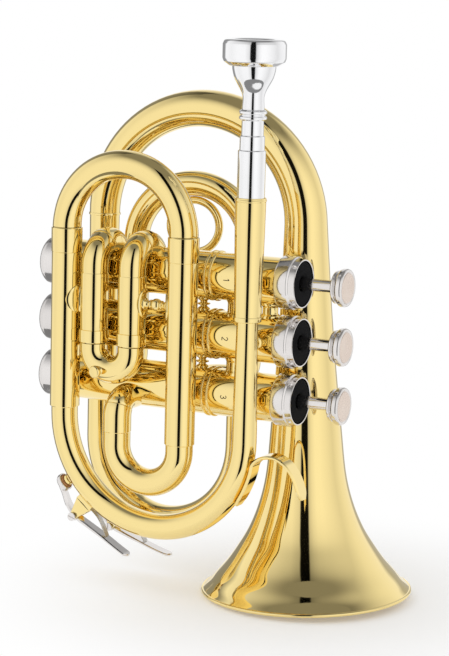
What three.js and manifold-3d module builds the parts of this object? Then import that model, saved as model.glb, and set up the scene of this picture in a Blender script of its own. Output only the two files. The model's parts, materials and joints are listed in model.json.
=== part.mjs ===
import * as THREE from 'three';
import { mergeVertices } from 'three/addons/utils/BufferGeometryUtils.js';
import Module from 'manifold-3d';

// Pocket trumpet standing on its bell. Millimetres, Z up, X along the valves toward the finger buttons,
// Y away from the front tubes. The origin is the centre of the bell rim.
const wasm = await Module();
wasm.setup();

const up = new THREE.Vector3(0, 0, 1);
const down = new THREE.Vector3(0, 0, -1);
const right = new THREE.Vector3(1, 0, 0);
const left = new THREE.Vector3(-1, 0, 0);
const back = new THREE.Vector3(0, 1, 0);
const fore = new THREE.Vector3(0, -1, 0);
const half = 1 / 2;
const halfTurn = 180;
const quarterTurn = 90;
const degree = Math.PI / halfTurn;

// clearances
const fitGap = 0.2;
const buttGap = 0.12;
const saddleGap = 0.12;
const casingGap = 0.25;

// sides of round pieces
const bellSides = 26;
const tubeSides = 12;
const boreSides = 6;
const casingSides = 16;
const smallSides = 8;
const tinySides = 6;

// the tubes that carry the air
const boreR = 5.75;
const wall = 0.25;

// planes and heights
const frontY = -46;
const valveY = -26.6;
const valvePitch = 25.6;
const valveZs = [142.7, 117.1, 91.5];

// valve casings, along X
const casingR = 10.4;
const casingBoreR = 8.75;
const casingLowX = -112;
const casingTopX = 1;
const bandX = -36.4;
const bandGap = 2.5;
const bandR = 0.7;

const palette = {
  lacquer: { color: 0xd8b45a, metalness: 0.9, roughness: 0.25 },
  silver: { color: 0xdedee2, metalness: 1, roughness: 0.12 },
  nickel: { color: 0xcfc9c6, metalness: 1, roughness: 0.2 },
  steel: { color: 0xb9bcc2, metalness: 1, roughness: 0.3 },
  felt: { color: 0x0b0b0c, metalness: 0, roughness: 0.95 },
  cork: { color: 0xa8622a, metalness: 0, roughness: 0.8 },
  pearl: { color: 0xe6c3a4, metalness: 0.1, roughness: 0.35 },
  plastic: { color: 0xe8e6df, metalness: 0, roughness: 0.5 },
};

const group = new THREE.Group();
const materials = {};

function materialOf(kind) {
  materials[kind] ??= new THREE.MeshStandardMaterial(palette[kind]);
  return materials[kind];
}

function addPiece(name, kind, geometry) {
  const mesh = new THREE.Mesh(geometry, materialOf(kind));
  mesh.name = name;
  group.add(mesh);
}

function toSolid(geometry) {
  const bare = new THREE.BufferGeometry();
  bare.setAttribute('position', geometry.getAttribute('position').clone());
  if (geometry.index) {
    bare.setIndex(geometry.index.clone());
  }
  const merged = mergeVertices(bare, 1e-5);
  return new wasm.Manifold(new wasm.Mesh({
    numProp: 3,
    vertProperties: new Float32Array(merged.getAttribute('position').array),
    triVerts: new Uint32Array(merged.index.array),
  }));
}

function toGeometry(solid) {
  const mesh = solid.getMesh();
  const geometry = new THREE.BufferGeometry();
  geometry.setAttribute('position', new THREE.BufferAttribute(new Float32Array(mesh.vertProperties), 3));
  geometry.setIndex(new THREE.BufferAttribute(new Uint32Array(mesh.triVerts), 1));
  return geometry;
}

function vec(x, y, z) {
  return new THREE.Vector3(x, y, z);
}

function joined(first, ...others) {
  return others.reduce((sum, other) => sum.add(other), first);
}

// A route is walked like a path: ahead in a straight line, or turning toward a direction.
class Route {
  constructor(start, heading) {
    this.at = start.clone();
    this.heading = heading.clone().normalize();
    const hint = Math.abs(this.heading.y) > half ? right : back;
    this.side = hint.clone().addScaledVector(this.heading, -hint.dot(this.heading)).normalize();
    this.length = 0;
    this.stations = [];
    this.mark();
  }

  mark() {
    this.stations.push({
      at: this.at.clone(),
      side: this.side.clone(),
      cross: new THREE.Vector3().crossVectors(this.heading, this.side),
      length: this.length,
    });
  }

  ahead(distance) {
    this.at.addScaledVector(this.heading, distance);
    this.length += distance;
    this.mark();
    return this;
  }

  turn(toward, degrees, radius, steps) {
    const inward = toward.clone().addScaledVector(this.heading, -toward.dot(this.heading)).normalize();
    const axis = new THREE.Vector3().crossVectors(this.heading, inward);
    const centre = this.at.clone().addScaledVector(inward, radius);
    const stepAngle = degrees * degree / steps;
    for (let i = 0; i < steps; i += 1) {
      this.at.sub(centre).applyAxisAngle(axis, stepAngle).add(centre);
      this.heading.applyAxisAngle(axis, stepAngle);
      this.side.applyAxisAngle(axis, stepAngle);
      this.length += radius * stepAngle;
      this.mark();
    }
    return this;
  }
}

function radiusAt(sizes, length) {
  for (let i = 1; i < sizes.length; i += 1) {
    const [before, beforeR] = sizes[i - 1];
    const [after, afterR] = sizes[i];
    if (length <= after) {
      return after === before ? afterR : beforeR + (afterR - beforeR) * (length - before) / (after - before);
    }
  }
  return sizes[sizes.length - 1][1];
}

function ringPoints(station, radius, sides) {
  const points = [];
  for (let i = 0; i < sides; i += 1) {
    const angle = 2 * Math.PI * i / sides;
    points.push(station.at.clone()
      .addScaledVector(station.side, radius * Math.cos(angle))
      .addScaledVector(station.cross, radius * Math.sin(angle)));
  }
  return points;
}

// A solid bar swept along the stations; sizes are [length, radius] pairs, or one radius.
function sweepBar(stations, sizes, sides) {
  const positions = [];
  const index = [];
  for (const station of stations) {
    const radius = Array.isArray(sizes) ? radiusAt(sizes, station.length) : sizes;
    for (const p of ringPoints(station, radius, sides)) {
      positions.push(p.x, p.y, p.z);
    }
  }
  const last = stations.length - 1;
  for (let s = 0; s < last; s += 1) {
    for (let i = 0; i < sides; i += 1) {
      const next = (i + 1) % sides;
      const a = s * sides + i;
      const b = s * sides + next;
      const c = a + sides;
      const d = b + sides;
      index.push(a, b, c, b, d, c);
    }
  }
  for (let i = 1; i < sides - 1; i += 1) {
    index.push(0, i + 1, i);
    index.push(last * sides, last * sides + i, last * sides + i + 1);
  }
  const geometry = new THREE.BufferGeometry();
  geometry.setAttribute('position', new THREE.BufferAttribute(new Float32Array(positions), 3));
  geometry.setIndex(index);
  return geometry;
}

// An open tube: the outer wall, the inner wall and a flat ring at each end.
function sweepTube(stations, outer, inner, sides = tubeSides, innerSides = boreSides) {
  const positions = [];
  const index = [];
  const walls = [[outer, sides], [inner, innerSides]];
  const starts = [0, stations.length * sides];
  for (const [sizes, count] of walls) {
    for (const station of stations) {
      const radius = Array.isArray(sizes) ? radiusAt(sizes, station.length) : sizes;
      for (const p of ringPoints(station, radius, count)) {
        positions.push(p.x, p.y, p.z);
      }
    }
  }
  walls.forEach(([, count], w) => {
    for (let s = 0; s < stations.length - 1; s += 1) {
      for (let i = 0; i < count; i += 1) {
        const a = starts[w] + s * count + i;
        const b = starts[w] + s * count + (i + 1) % count;
        const c = a + count;
        const d = b + count;
        index.push(...(w === 0 ? [a, b, c, b, d, c] : [a, c, b, b, c, d]));
      }
    }
  });
  for (const s of [0, stations.length - 1]) {
    const outerStart = s * sides;
    const innerStart = starts[1] + s * innerSides;
    let o = 0;
    let n = 0;
    while (o < sides || n < innerSides) {
      const stepOuter = n === innerSides || (o < sides && (o + 1) / sides <= (n + 1) / innerSides);
      const a = outerStart + o % sides;
      const c = innerStart + n % innerSides;
      const b = stepOuter ? outerStart + (o + 1) % sides : innerStart + (n + 1) % innerSides;
      index.push(...(s === 0 ? [a, c, b] : [a, b, c]));
      if (stepOuter) {
        o += 1;
      } else {
        n += 1;
      }
    }
  }
  const geometry = new THREE.BufferGeometry();
  geometry.setAttribute('position', new THREE.BufferAttribute(new Float32Array(positions), 3));
  geometry.setIndex(index);
  return geometry;
}

// Stations with a sharp step get two rings; this adds a station a hair's width after a given length.
function withSteps(route, lengths) {
  const out = [];
  for (let i = 0; i < route.stations.length; i += 1) {
    const here = route.stations[i];
    out.push(here);
    const next = route.stations[i + 1];
    if (!next) {
      continue;
    }
    for (const wanted of lengths) {
      if (wanted > here.length && wanted < next.length) {
        const share = (wanted - here.length) / (next.length - here.length);
        out.push({
          at: here.at.clone().lerp(next.at, share),
          side: here.side,
          cross: here.cross,
          length: wanted,
        });
      }
    }
  }
  return out;
}

// A turned piece: profile pairs [radius, height along the axis], closed on itself or on the axis.
function turned(profile, sides) {
  const points = profile.map(([r, h]) => new THREE.Vector2(r, h));
  if (THREE.ShapeUtils.area(points) < 0) {
    points.reverse();
  }
  return new THREE.LatheGeometry(points, sides).rotateX(quarterTurn * degree);
}

function closedTurned(profile, sides) {
  return turned([...profile, profile[0]], sides);
}

// Lays a piece made along +Z down along the direction, with its base at the place.
function layAlong(geometry, direction, place) {
  const turnTo = new THREE.Quaternion().setFromUnitVectors(up, direction.clone().normalize());
  return geometry.applyQuaternion(turnTo).translate(place.x, place.y, place.z);
}

function rod(place, direction, length, radius, sides) {
  const profile = [[0, 0], [radius, 0], [radius, length], [0, length]];
  return layAlong(turned(profile, sides), direction, place);
}

function alongX(geometry, z) {
  return geometry.rotateY(quarterTurn * degree).translate(0, valveY, z);
}

// The casings' outer faces, with their two bands, as keep-out bars: a tube that meets one ends on it.
const bandOutline = [0, bandGap].flatMap((shift) => [
  [casingR, bandX + shift - bandR], [casingR + bandR, bandX + shift - bandR / 2],
  [casingR + bandR, bandX + shift + bandR / 2], [casingR, bandX + shift + bandR],
]);
const keepOutProfile = [[casingR, casingLowX], ...bandOutline, [casingR, casingTopX]]
  .map(([r, x]) => [r + casingGap, x]);
const casingKeepOut = valveZs.map((z) => toSolid(alongX(
  turned([[0, casingLowX], ...keepOutProfile, [0, casingTopX]], casingSides), z)));

function endOnCasing(geometry, valve) {
  return toGeometry(toSolid(geometry).subtract(casingKeepOut[valve]));
}

// short posts, soldered to the tube they start in and ending on a casing
const braceR = 2.2;
const braceZ = valveZs[1];
const braceReach = 14;
const braceSpan = 14;

function uprightBar(x, y, radius, sides = tubeSides) {
  const route = new Route(vec(x, y, braceZ - braceSpan), up);
  route.ahead(2 * braceSpan);
  return toSolid(sweepBar(route.stations, radius, sides));
}

function braceFrom(x, y, rootR, heading) {
  const post = toSolid(rod(vec(x, y, braceZ), heading, braceReach, braceR, smallSides));
  return post.subtract(uprightBar(x, y, rootR)).subtract(casingKeepOut[1]);
}

// the bell
const bellLean = 1.94 * degree;
const bellTurn = 2.3 * degree;
const bellWall = 0.7;
const bellTopS = 150;
const bellOutline = [
  [46.2, 0], [47.3, 0], [47.6, 0.7], [46.6, 1.7], [43.6, 4.2], [40.2, 8.2], [35.2, 14], [30.2, 21.2], [25.8, 28.6],
  [21.5, 39], [18.2, 52], [15.8, 75], [13.2, 104], [11.4, 130], [10.3, bellTopS],
];
const bellAxis = vec(-Math.sin(bellLean), 0, Math.cos(bellLean));

function insetProfile(outline, depth) {
  return outline.map(([r, h], i) => {
    const [r0, h0] = outline[Math.max(i - 1, 0)];
    const [r1, h1] = outline[Math.min(i + 1, outline.length - 1)];
    const run = new THREE.Vector2(r1 - r0, h1 - h0).normalize();
    return [r - depth * run.y, h + depth * run.x];
  });
}

const bellFilled = toSolid(layAlong(turned([[0, 0], ...bellOutline.slice(2), [0, bellTopS]], bellSides), bellAxis,
  vec(0, 0, 0)));
const bellProfile = [...bellOutline, ...insetProfile(bellOutline.slice(3), bellWall).reverse()];
addPiece('bell', 'lacquer', layAlong(closedTurned(bellProfile, bellSides), bellAxis, vec(0, 0, 0)));

// the bell bow, walked from the bell's top over to the tail
const bowLead = 15.2;
const bowR = 49.75;
const bowSides = 16;
const bowSteps = 12;
const bowStartR = 10.3;
const bowRightR = 9.55;
const bowTailR = 6.95;
const bowWall = 0.6;
const bowAcross = vec(-Math.cos(bellTurn), -Math.sin(bellTurn), 0);
const bowRoute = new Route(bellAxis.clone().multiplyScalar(bellTopS + buttGap), bellAxis);
bowRoute.ahead(bowLead).turn(bowAcross, halfTurn - bellLean / degree, bowR, bowSteps);
const bowOuter = [[0, bowStartR], [bowLead, bowRightR], [bowRoute.length, bowTailR]];
const thinner = (sizes, depth) => sizes.map(([at, r]) => [at, r - depth]);
addPiece('bell_bow', 'lacquer',
  sweepTube(bowRoute.stations, bowOuter, thinner(bowOuter, bowWall), bowSides, boreSides + 2));

// stations for every length at which the outer size changes
function dressed(route, sizes) {
  return withSteps(route, sizes.map(([at]) => at));
}
const hair = 0.05;

// the tail leg, the rear bow and the rear leg up to valve 1
const tailTop = bowRoute.at.clone();
const tailFerruleR = 7.25;
const tailFerrule = 1.1;
const tailTopR = 6.85;
const rearR = 6.5;
const tailJointZ = 95;
const tailRoute = new Route(vec(tailTop.x, tailTop.y, tailTop.z - buttGap), down);
tailRoute.ahead(tailTop.z - buttGap - tailJointZ);
const tailOuter = [
  [0, tailFerruleR], [tailFerrule, tailFerruleR], [tailFerrule + hair, tailTopR], [tailRoute.length, rearR],
];
const tailRootR = 6.3;
addPiece('bell_tail', 'lacquer', toGeometry(joined(
  toSolid(sweepTube(dressed(tailRoute, tailOuter), tailOuter, boreR)),
  braceFrom(tailTop.x, tailTop.y, tailRootR, fore))));

const rearLegX = -30.4;
const rearLegY = -9.3;
const rearBottomZ = 24.55;
const rearLeftShare = 0.471;
const rearAcross = vec(rearLegX - tailTop.x, rearLegY - tailTop.y, 0);
const rearSpan = rearAcross.length();
const rearLeftR = rearSpan * rearLeftShare;
const rearRightR = rearSpan - rearLeftR;
const quarterSteps = 6;
const rearRoute = new Route(vec(tailTop.x, tailTop.y, tailJointZ - buttGap), down);
rearRoute.ahead(tailJointZ - buttGap - rearBottomZ - rearLeftR);
rearRoute.turn(rearAcross, quarterTurn, rearLeftR, quarterSteps);
rearRoute.turn(up, quarterTurn, rearRightR, quarterSteps);
const rearLegTopZ = 128.5;
const rearElbowR = 10;
const rearElbowTurn = 60;
const rearElbowSteps = 3;
const intoWall = 12;
rearRoute.ahead(rearLegTopZ - rearBottomZ - rearRightR);
rearRoute.turn(fore, rearElbowTurn, rearElbowR, rearElbowSteps).ahead(intoWall);

// the casings' ports are cut later, from the last straight run of each tube that meets a casing
const portR = 5.5;
const ports = valveZs.map(() => []);

function intoCasing(route, outer, inner, valve, sides = tubeSides, innerSides = boreSides) {
  const stations = Array.isArray(outer) ? dressed(route, outer) : route.stations;
  const tube = sweepTube(stations, outer, inner, sides, innerSides);
  ports[valve].push(toSolid(sweepBar(route.stations.slice(-2), portR, smallSides)));
  return endOnCasing(tube, valve);
}

const knuckleX = -22.8;
const knuckleR = 6.2;
const knuckleRoute = new Route(vec(knuckleX, valveY, valveZs[0]), down);
knuckleRoute.ahead(valvePitch);
const rearTube = toSolid(intoCasing(rearRoute, rearR, boreR, 0))
  .subtract(toSolid(sweepBar(knuckleRoute.stations, knuckleR + casingGap, tubeSides)));

// the front plane: leadpipe and receiver, front bow, main slide, small bow
const leadX = -10.43;
const t1X = -99.93;
const t2X = -41.8;
const outerTubeR = 6.6;
const outerBoreR = 6.35;
const ferruleR = 6.8;
const slideTopZ = 161;
const ferruleLength = 10.8;
const t1LowZ = 81;
const t2LowZ = 70.3;

function outerTube(x, lowZ) {
  const route = new Route(vec(x, frontY, lowZ), up);
  route.ahead(slideTopZ - lowZ);
  const ferruleAt = route.length - ferruleLength;
  const sizes = [[0, outerTubeR], [ferruleAt, outerTubeR], [ferruleAt + hair, ferruleR], [route.length, ferruleR]];
  const tube = toSolid(sweepTube(dressed(route, sizes), sizes, outerBoreR, tubeSides, tubeSides));
  return joined(tube, braceFrom(x, frontY, (outerTubeR + outerBoreR) / 2, back));
}
addPiece('main_tube_left', 'lacquer', toGeometry(outerTube(t1X, t1LowZ)));

const mainLegR = 6.1;
const mainCrookR = 6.22;
const mainBendR = (t2X - t1X) / 2;
const mainCentreZ = 161.25;
const mainLegLowZ = 112;
const halfBendSteps = 10;
const tightBendSteps = 6;
const mainRoute = new Route(vec(t1X, frontY, mainLegLowZ), up);
mainRoute.ahead(mainCentreZ - mainLegLowZ);
mainRoute.turn(right, halfTurn, mainBendR, halfBendSteps);
mainRoute.ahead(mainCentreZ - mainLegLowZ);
const mainLeg = slideTopZ + buttGap - mainLegLowZ;
const mainSizes = [
  [0, mainLegR], [mainLeg, mainLegR], [mainLeg + hair, mainCrookR],
  [mainRoute.length - mainLeg - hair, mainCrookR], [mainRoute.length - mainLeg, mainLegR],
  [mainRoute.length, mainLegR],
];
addPiece('main_slide_crook', 'lacquer', sweepTube(dressed(mainRoute, mainSizes), mainSizes, boreR));

const frontBottomZ = 32;
const frontLeftR = 46.5;
const frontRightR = leadX - t1X - frontLeftR;
const frontLegTopZ = 92;
const frontJointZ = 79.5;
const frontLeftTubeR = 5.95;
const frontRightTubeR = 5.4;
const frontBore = 0.45;
const frontRoute = new Route(vec(t1X, frontY, frontLegTopZ), down);
frontRoute.ahead(frontLegTopZ - frontBottomZ - frontLeftR);
frontRoute.turn(right, quarterTurn, frontLeftR, quarterSteps + 1);
frontRoute.turn(up, quarterTurn, frontRightR, quarterSteps);
frontRoute.ahead(frontJointZ - frontBottomZ - frontRightR);
const frontSizes = [[0, frontLeftTubeR], [frontRoute.length, frontRightTubeR]];
const frontTube = toSolid(sweepTube(frontRoute.stations, frontSizes, thinner(frontSizes, frontBore)));
const frontFilled = toSolid(sweepBar(frontRoute.stations, thinner(frontSizes, -saddleGap), tubeSides));
const rearFilled = toSolid(sweepBar(rearRoute.stations, rearR + saddleGap, tubeSides));
const frontRoot = toSolid(sweepBar(frontRoute.stations, thinner(frontSizes, fitGap), tubeSides));
const rearRoot = toSolid(sweepBar(rearRoute.stations, rearR - fitGap, tubeSides));

const receiverLowZ = 127.4;
const leadTopZ = 150;
const leadTopR = 4.6;
const leadRoute = new Route(vec(leadX, frontY, frontJointZ + buttGap), up);
leadRoute.ahead(receiverLowZ - frontJointZ - buttGap).ahead(leadTopZ - receiverLowZ);
const leadSizes = [[0, frontRightTubeR], [receiverLowZ - frontJointZ, leadTopR], [leadRoute.length, leadTopR]];
const leadBore = 0.4;
const leadRootR = 4.65;
addPiece('leadpipe', 'lacquer', toGeometry(joined(
  toSolid(sweepTube(leadRoute.stations, leadSizes, thinner(leadSizes, leadBore))),
  braceFrom(leadX, frontY, leadRootR, back))));

const receiverProfile = [
  [4.85, 127.4], [5.9, 127.4], [6.15, 127.9], [6.15, 129.3], [5.8, 129.8], [6.5, 170], [6.6, 178.6],
  [6.85, 178.9], [6.85, 179.4], [6.6, 179.7], [6.6, 180.3], [6.2, 180.3], [5.3, 153], [4.85, 152],
];
addPiece('receiver', 'lacquer',
  closedTurned(receiverProfile, casingSides).translate(leadX, frontY, 0));

const mouthpieceProfile = [
  [3.9, 157.5], [4.7, 157.5], [5.93, 180], [5.95, 200.1], [5.35, 200.3], [5.3, 206.1], [4.75, 206.5], [4.7, 212.8],
  [5.9, 213.3], [5.9, 214.2], [5.1, 214.9], [5.9, 215.7], [5.9, 216.6], [4.75, 217.3], [4.75, 223.3],
  [8.3, 230.5], [9.3, 235.4], [10.6, 235.5], [13, 237.2], [13.5, 238.6], [13.5, 244.6], [12.6, 246.2],
  [11, 246.7], [8.7, 245.2], [7.9, 240.5], [5.8, 235.4], [2.2, 231], [1.9, 226],
];
addPiece('mouthpiece', 'silver',
  closedTurned(mouthpieceProfile, casingSides).translate(leadX, frontY, 0));

const sleeveX = -72.97;
const smallBendR = (t2X - sleeveX) / 2;
const smallCentreZ = 66.96;
const smallBowR = 6.03;
const sleeveLowZ = 72.5;
const sleeveTopZ = 83.4;
const sleeveR = 6.3;
const smallLegTopZ = 84;
const smallRoute = new Route(vec(sleeveX, frontY, sleeveLowZ - buttGap), down);
smallRoute.ahead(sleeveLowZ - buttGap - smallCentreZ);
smallRoute.turn(right, halfTurn, smallBendR, tightBendSteps);
smallRoute.ahead(smallLegTopZ - smallCentreZ);
addPiece('small_bow', 'lacquer', sweepTube(smallRoute.stations, smallBowR, boreR - wall));

const inletElbowZ = 79.2;
const inletElbowR = 7.5;
const elbowSteps = 4;
const elbowTubeR = 6;
const inletRun = 8;
const inletRoute = new Route(vec(sleeveX, frontY, sleeveLowZ), up);
inletRoute.ahead(inletElbowZ - sleeveLowZ).turn(back, quarterTurn, inletElbowR, elbowSteps).ahead(inletRun);
const sleeveLength = sleeveTopZ - sleeveLowZ;
const inletSizes = [
  [0, sleeveR], [sleeveLength, sleeveR], [sleeveLength + hair, elbowTubeR], [inletRoute.length, elbowTubeR],
];
addPiece('inlet_elbow', 'lacquer', intoCasing(inletRoute, inletSizes, boreR - wall, 2));

// first valve slide: two elbows over the top of casing 1, two outer tubes and a crook
const firstXs = [-85.49, -66.71];
const firstTopZ = 142;
const firstFerruleZ = 116.8;
const firstLowZ = 111.25;
const firstOuterR = 6.2;
const firstFerruleR = 6.55;
const firstBoreR = 6.05;
const firstLegR = 5.75;
const firstCrookR = 6;
const firstElbowR = 5.95;
const firstLift = 3.1;
const overBendR = 9.5;
const overRun = 3;
const dropBendR = 7;
const dropTurn = 80;
const dropSteps = 3;
const elbowBandStart = 15;
const elbowBandEnd = 21.5;
const dropRun = 6;
firstXs.forEach((x, i) => {
  const route = new Route(vec(x, frontY, firstLowZ), up);
  const straight = firstTopZ - firstLowZ;
  route.ahead(straight + firstLift).turn(back, quarterTurn, overBendR, elbowSteps).ahead(overRun);
  route.turn(down, dropTurn, dropBendR, dropSteps).ahead(dropRun);
  const bandEnd = firstFerruleZ - firstLowZ;
  const sizes = [
    [0, firstFerruleR], [bandEnd, firstFerruleR], [bandEnd + hair, firstOuterR], [straight, firstOuterR],
    [straight + hair, firstElbowR], [straight + elbowBandStart, firstElbowR],
    [straight + elbowBandStart + hair, sleeveR], [straight + elbowBandEnd, sleeveR],
    [straight + elbowBandEnd + hair, firstElbowR], [route.length, firstElbowR],
  ];
  const bore = [[0, firstBoreR], [straight, firstBoreR], [straight + hair, boreR - wall], [route.length, boreR - wall]];
  addPiece(`first_slide_tube_${i + 1}`, 'lacquer', intoCasing(route, sizes, bore, 0, tubeSides, tubeSides));
});
const firstLegTopZ = 136;
const firstCentreZ = 108.8;
const firstBendR = (firstXs[1] - firstXs[0]) / 2;
const firstRoute = new Route(vec(firstXs[0], frontY, firstLegTopZ), down);
firstRoute.ahead(firstLegTopZ - firstCentreZ).turn(right, halfTurn, firstBendR, tightBendSteps);
firstRoute.ahead(firstLegTopZ - firstCentreZ);
const firstLeg = firstLegTopZ - firstLowZ + buttGap;
const firstSizes = [
  [0, firstLegR], [firstLeg, firstLegR], [firstLeg + hair, firstCrookR],
  [firstRoute.length - firstLeg - hair, firstCrookR], [firstRoute.length - firstLeg, firstLegR],
  [firstRoute.length, firstLegR],
];

const knobProfile = [
  [0, 0], [1.5, 0], [1.5, 1.7], [2.8, 2.1], [2.8, 3.6], [1.8, 4.2], [0, 3.9],
];
const knobFrom = 5.8;
const knobAim = vec(-0.2, -1, -0.05).normalize();
const knobFoot = vec(-78.2, frontY, 99.9);
const firstKnob = layAlong(turned(knobProfile, smallSides), knobAim,
  knobFoot.clone().addScaledVector(knobAim, knobFrom));
addPiece('first_slide_crook', 'lacquer', toGeometry(joined(
  toSolid(sweepTube(dressed(firstRoute, firstSizes), firstSizes, boreR - 2 * wall)), toSolid(firstKnob))));

// second valve slide, on the far side of casing 2
const secondXs = [-76.2, -63];
const secondZ = 114;
const secondInY = -18;
const secondEndY = -2;
const secondOuterR = 6;
const secondBoreR = 5.75;
const secondLegR = 5.5;
const secondLegInY = -13;
const secondBendY = 2;
secondXs.forEach((x, i) => {
  const route = new Route(vec(x, secondEndY, secondZ), fore);
  route.ahead(secondEndY - secondInY).ahead(overRun);
  const tube = sweepTube(route.stations, secondOuterR, secondBoreR, tubeSides, tubeSides);
  ports[1].push(toSolid(sweepBar(route.stations.slice(-2), portR - wall, smallSides)));
  addPiece(`second_slide_tube_${i + 1}`, 'lacquer', endOnCasing(tube, 1));
});
const secondBendR = (secondXs[1] - secondXs[0]) / 2;
const secondRoute = new Route(vec(secondXs[0], secondLegInY, secondZ), back);
secondRoute.ahead(secondBendY - secondLegInY).turn(right, halfTurn, secondBendR, tightBendSteps);
secondRoute.ahead(secondBendY - secondLegInY);
const secondLeg = secondEndY + buttGap - secondLegInY;
const secondSizes = [
  [0, secondLegR], [secondLeg, secondLegR], [secondLeg + hair, secondOuterR],
  [secondRoute.length - secondLeg - hair, secondOuterR], [secondRoute.length - secondLeg, secondLegR],
  [secondRoute.length, secondLegR],
];
const secondKnobFoot = vec((secondXs[0] + secondXs[1]) / 2, secondBendY + secondBendR + knobFrom, secondZ);
const secondKnob = layAlong(turned(knobProfile, smallSides), back, secondKnobFoot);
addPiece('second_slide_crook', 'lacquer', toGeometry(joined(
  toSolid(sweepTube(dressed(secondRoute, secondSizes), secondSizes, boreR - 2 * wall)), toSolid(secondKnob))));

// third valve slide: the arch behind the casings with its finger ring
const archLeft = vec(-88.57, -3.2, 0);
const archRight = vec(-34.22, 3.5, 0);
const archTopZ = 179.2;
const archLeftShare = 0.512;
const archR = 5.65;
const archTubeR = 6.15;
const archTubeBoreR = 5.9;
const archTubeTopZ = 146;
const archLegLowZ = 118;
const archAcross = archRight.clone().sub(archLeft);
const archSpan = archAcross.length();
const archLeftR = archSpan * archLeftShare;
const archRightR = archSpan - archLeftR;
const archRoute = new Route(archLeft.clone().setZ(archLegLowZ), up);
archRoute.ahead(archTopZ - archLeftR - archLegLowZ);
archRoute.turn(archAcross, quarterTurn, archLeftR, quarterSteps);
archRoute.turn(down, quarterTurn, archRightR, quarterSteps);
archRoute.ahead(archTopZ - archRightR - archLegLowZ);
addPiece('third_slide_arch', 'lacquer', sweepTube(archRoute.stations, archR, boreR - 2 * wall));

const lowPortZ = valveZs[2];
const thirdBendR = 9;
const thirdRun = 10;
const thirdLeft = new Route(archLeft.clone().setZ(archTubeTopZ), down);
thirdLeft.ahead(archTubeTopZ - lowPortZ - thirdBendR).turn(fore, quarterTurn, thirdBendR, elbowSteps);
thirdLeft.ahead(thirdRun);
const thirdRight = new Route(archRight.clone().setZ(archTubeTopZ), down);
thirdRight.ahead(archTubeTopZ - lowPortZ - thirdBendR).turn(left, quarterTurn, thirdBendR, elbowSteps);
thirdRight.turn(fore, quarterTurn, thirdBendR, elbowSteps).ahead(thirdRun + secondBendR);
[thirdLeft, thirdRight].forEach((route, i) => {
  const tube = sweepTube(route.stations, archTubeR, archTubeBoreR, tubeSides, tubeSides);
  ports[2].push(toSolid(sweepBar(route.stations.slice(-2), portR, smallSides)));
  addPiece(`third_slide_tube_${i + 1}`, 'lacquer', endOnCasing(tube, 2));
});

const ringWireR = 1.8;
const ringR = 11.7;
const ringSides = 22;
const ringCentreZ = archTopZ - archR - saddleGap - ringWireR - ringR;
const ringCentre = archLeft.clone().addScaledVector(archAcross.clone().normalize(), archLeftR).setZ(ringCentreZ);
const ringTurn = Math.atan2(archAcross.y, archAcross.x);
addPiece('third_slide_ring', 'lacquer',
  new THREE.TorusGeometry(ringR, ringWireR, tinySides, ringSides).rotateX(quarterTurn * degree)
    .rotateZ(ringTurn).translate(ringCentre.x, ringCentre.y, ringCentre.z));

function casingRoot(z) {
  return toSolid(rod(vec(casingLowX, valveY, z), right, casingTopX - casingLowX, casingR - fitGap, casingSides));
}

// knuckles and turned posts between the casings
const knuckleReach = 9;
const postX = -41.4;
const casingSpace = valvePitch - 2 * casingR;
const postShares = [
  [0, 0.03], [1, 0.03], [1, 0.18], [0.7, 0.3], [1.05, 0.44], [1.05, 0.56], [0.7, 0.7], [1, 0.82], [1, 1.14],
  [0, 1.14],
];
const solderedTo = valveZs.map(() => []);
const postR = 2.5;
[0, 1].forEach((i) => {
  const upper = valveZs[i];
  const lower = valveZs[i + 1];
  const route = new Route(vec(knuckleX, valveY, upper - knuckleReach), down);
  route.ahead(upper - lower - 2 * knuckleReach);
  const bar = new Route(vec(knuckleX, valveY, upper - knuckleReach + 2 * ringWireR), down);
  bar.ahead(upper - lower - 2 * knuckleReach + 4 * ringWireR);
  const cutter = toSolid(sweepBar(bar.stations, portR, smallSides));
  ports[i].push(cutter);
  ports[i + 1].push(cutter);
  const tube = toSolid(sweepTube(route.stations, knuckleR, boreR));
  solderedTo[i].push(tube.subtract(casingRoot(upper)).subtract(casingKeepOut[i + 1]));
  const profile = postShares.map(([r, h]) => [r * postR, h * casingSpace]);
  solderedTo[i].push(toSolid(turned(profile, smallSides).translate(postX, valveY, lower + casingR)));
});

const stayX = -9;
const staySize = vec(8, 7, casingSpace + 2);
const stayBlock = toSolid(new THREE.BoxGeometry(staySize.x, staySize.y, staySize.z)
  .translate(stayX, valveY, (valveZs[0] + valveZs[1]) / 2));
solderedTo[0].push(stayBlock.subtract(casingRoot(valveZs[0])).subtract(casingKeepOut[1]));

// valves, caps and buttons, one set along X for each casing
const capRearX = -3;
const capInnerR = casingR + fitGap;
const capPlateX = 2.2;
const capRimX = 6.6;
const stemR = 2.7;
const stemHoleR = 3.2;
const casingOuterProfile = [
  [casingBoreR, casingLowX], [casingR, casingLowX], ...bandOutline, [casingR, casingTopX], [casingBoreR, casingTopX],
];
const topCapProfile = [
  [capInnerR, capRearX], [11.4, capRearX], [11.6, capRearX + 0.6], [11.6, 3.2], [10.9, 3.8],
  [10.5, capRimX], [9.9, capRimX], [9.9, 3.8], [stemHoleR, 3.8], [stemHoleR, capPlateX], [capInnerR, capPlateX],
];
const bottomCapProfile = [
  [capInnerR, -107.9], [11.1, -107.9], [11.1, -109.6], [10.8, -110.1], [10.8, -117.4], [10.3, -118.9],
  [9.3, -119.9], [5.8, -120.9], [1.2, -121.2], [1.2, -118.6], [capInnerR, -118.6],
];
const feltProfile = [[stemHoleR, 3.9], [9.7, 3.9], [9.7, 5.9], [9.2, 6.3], [4.4, 6.3], [stemHoleR, 5.7]];
const pistonR = 8.55;
const pistonBoreR = 7.9;
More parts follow.
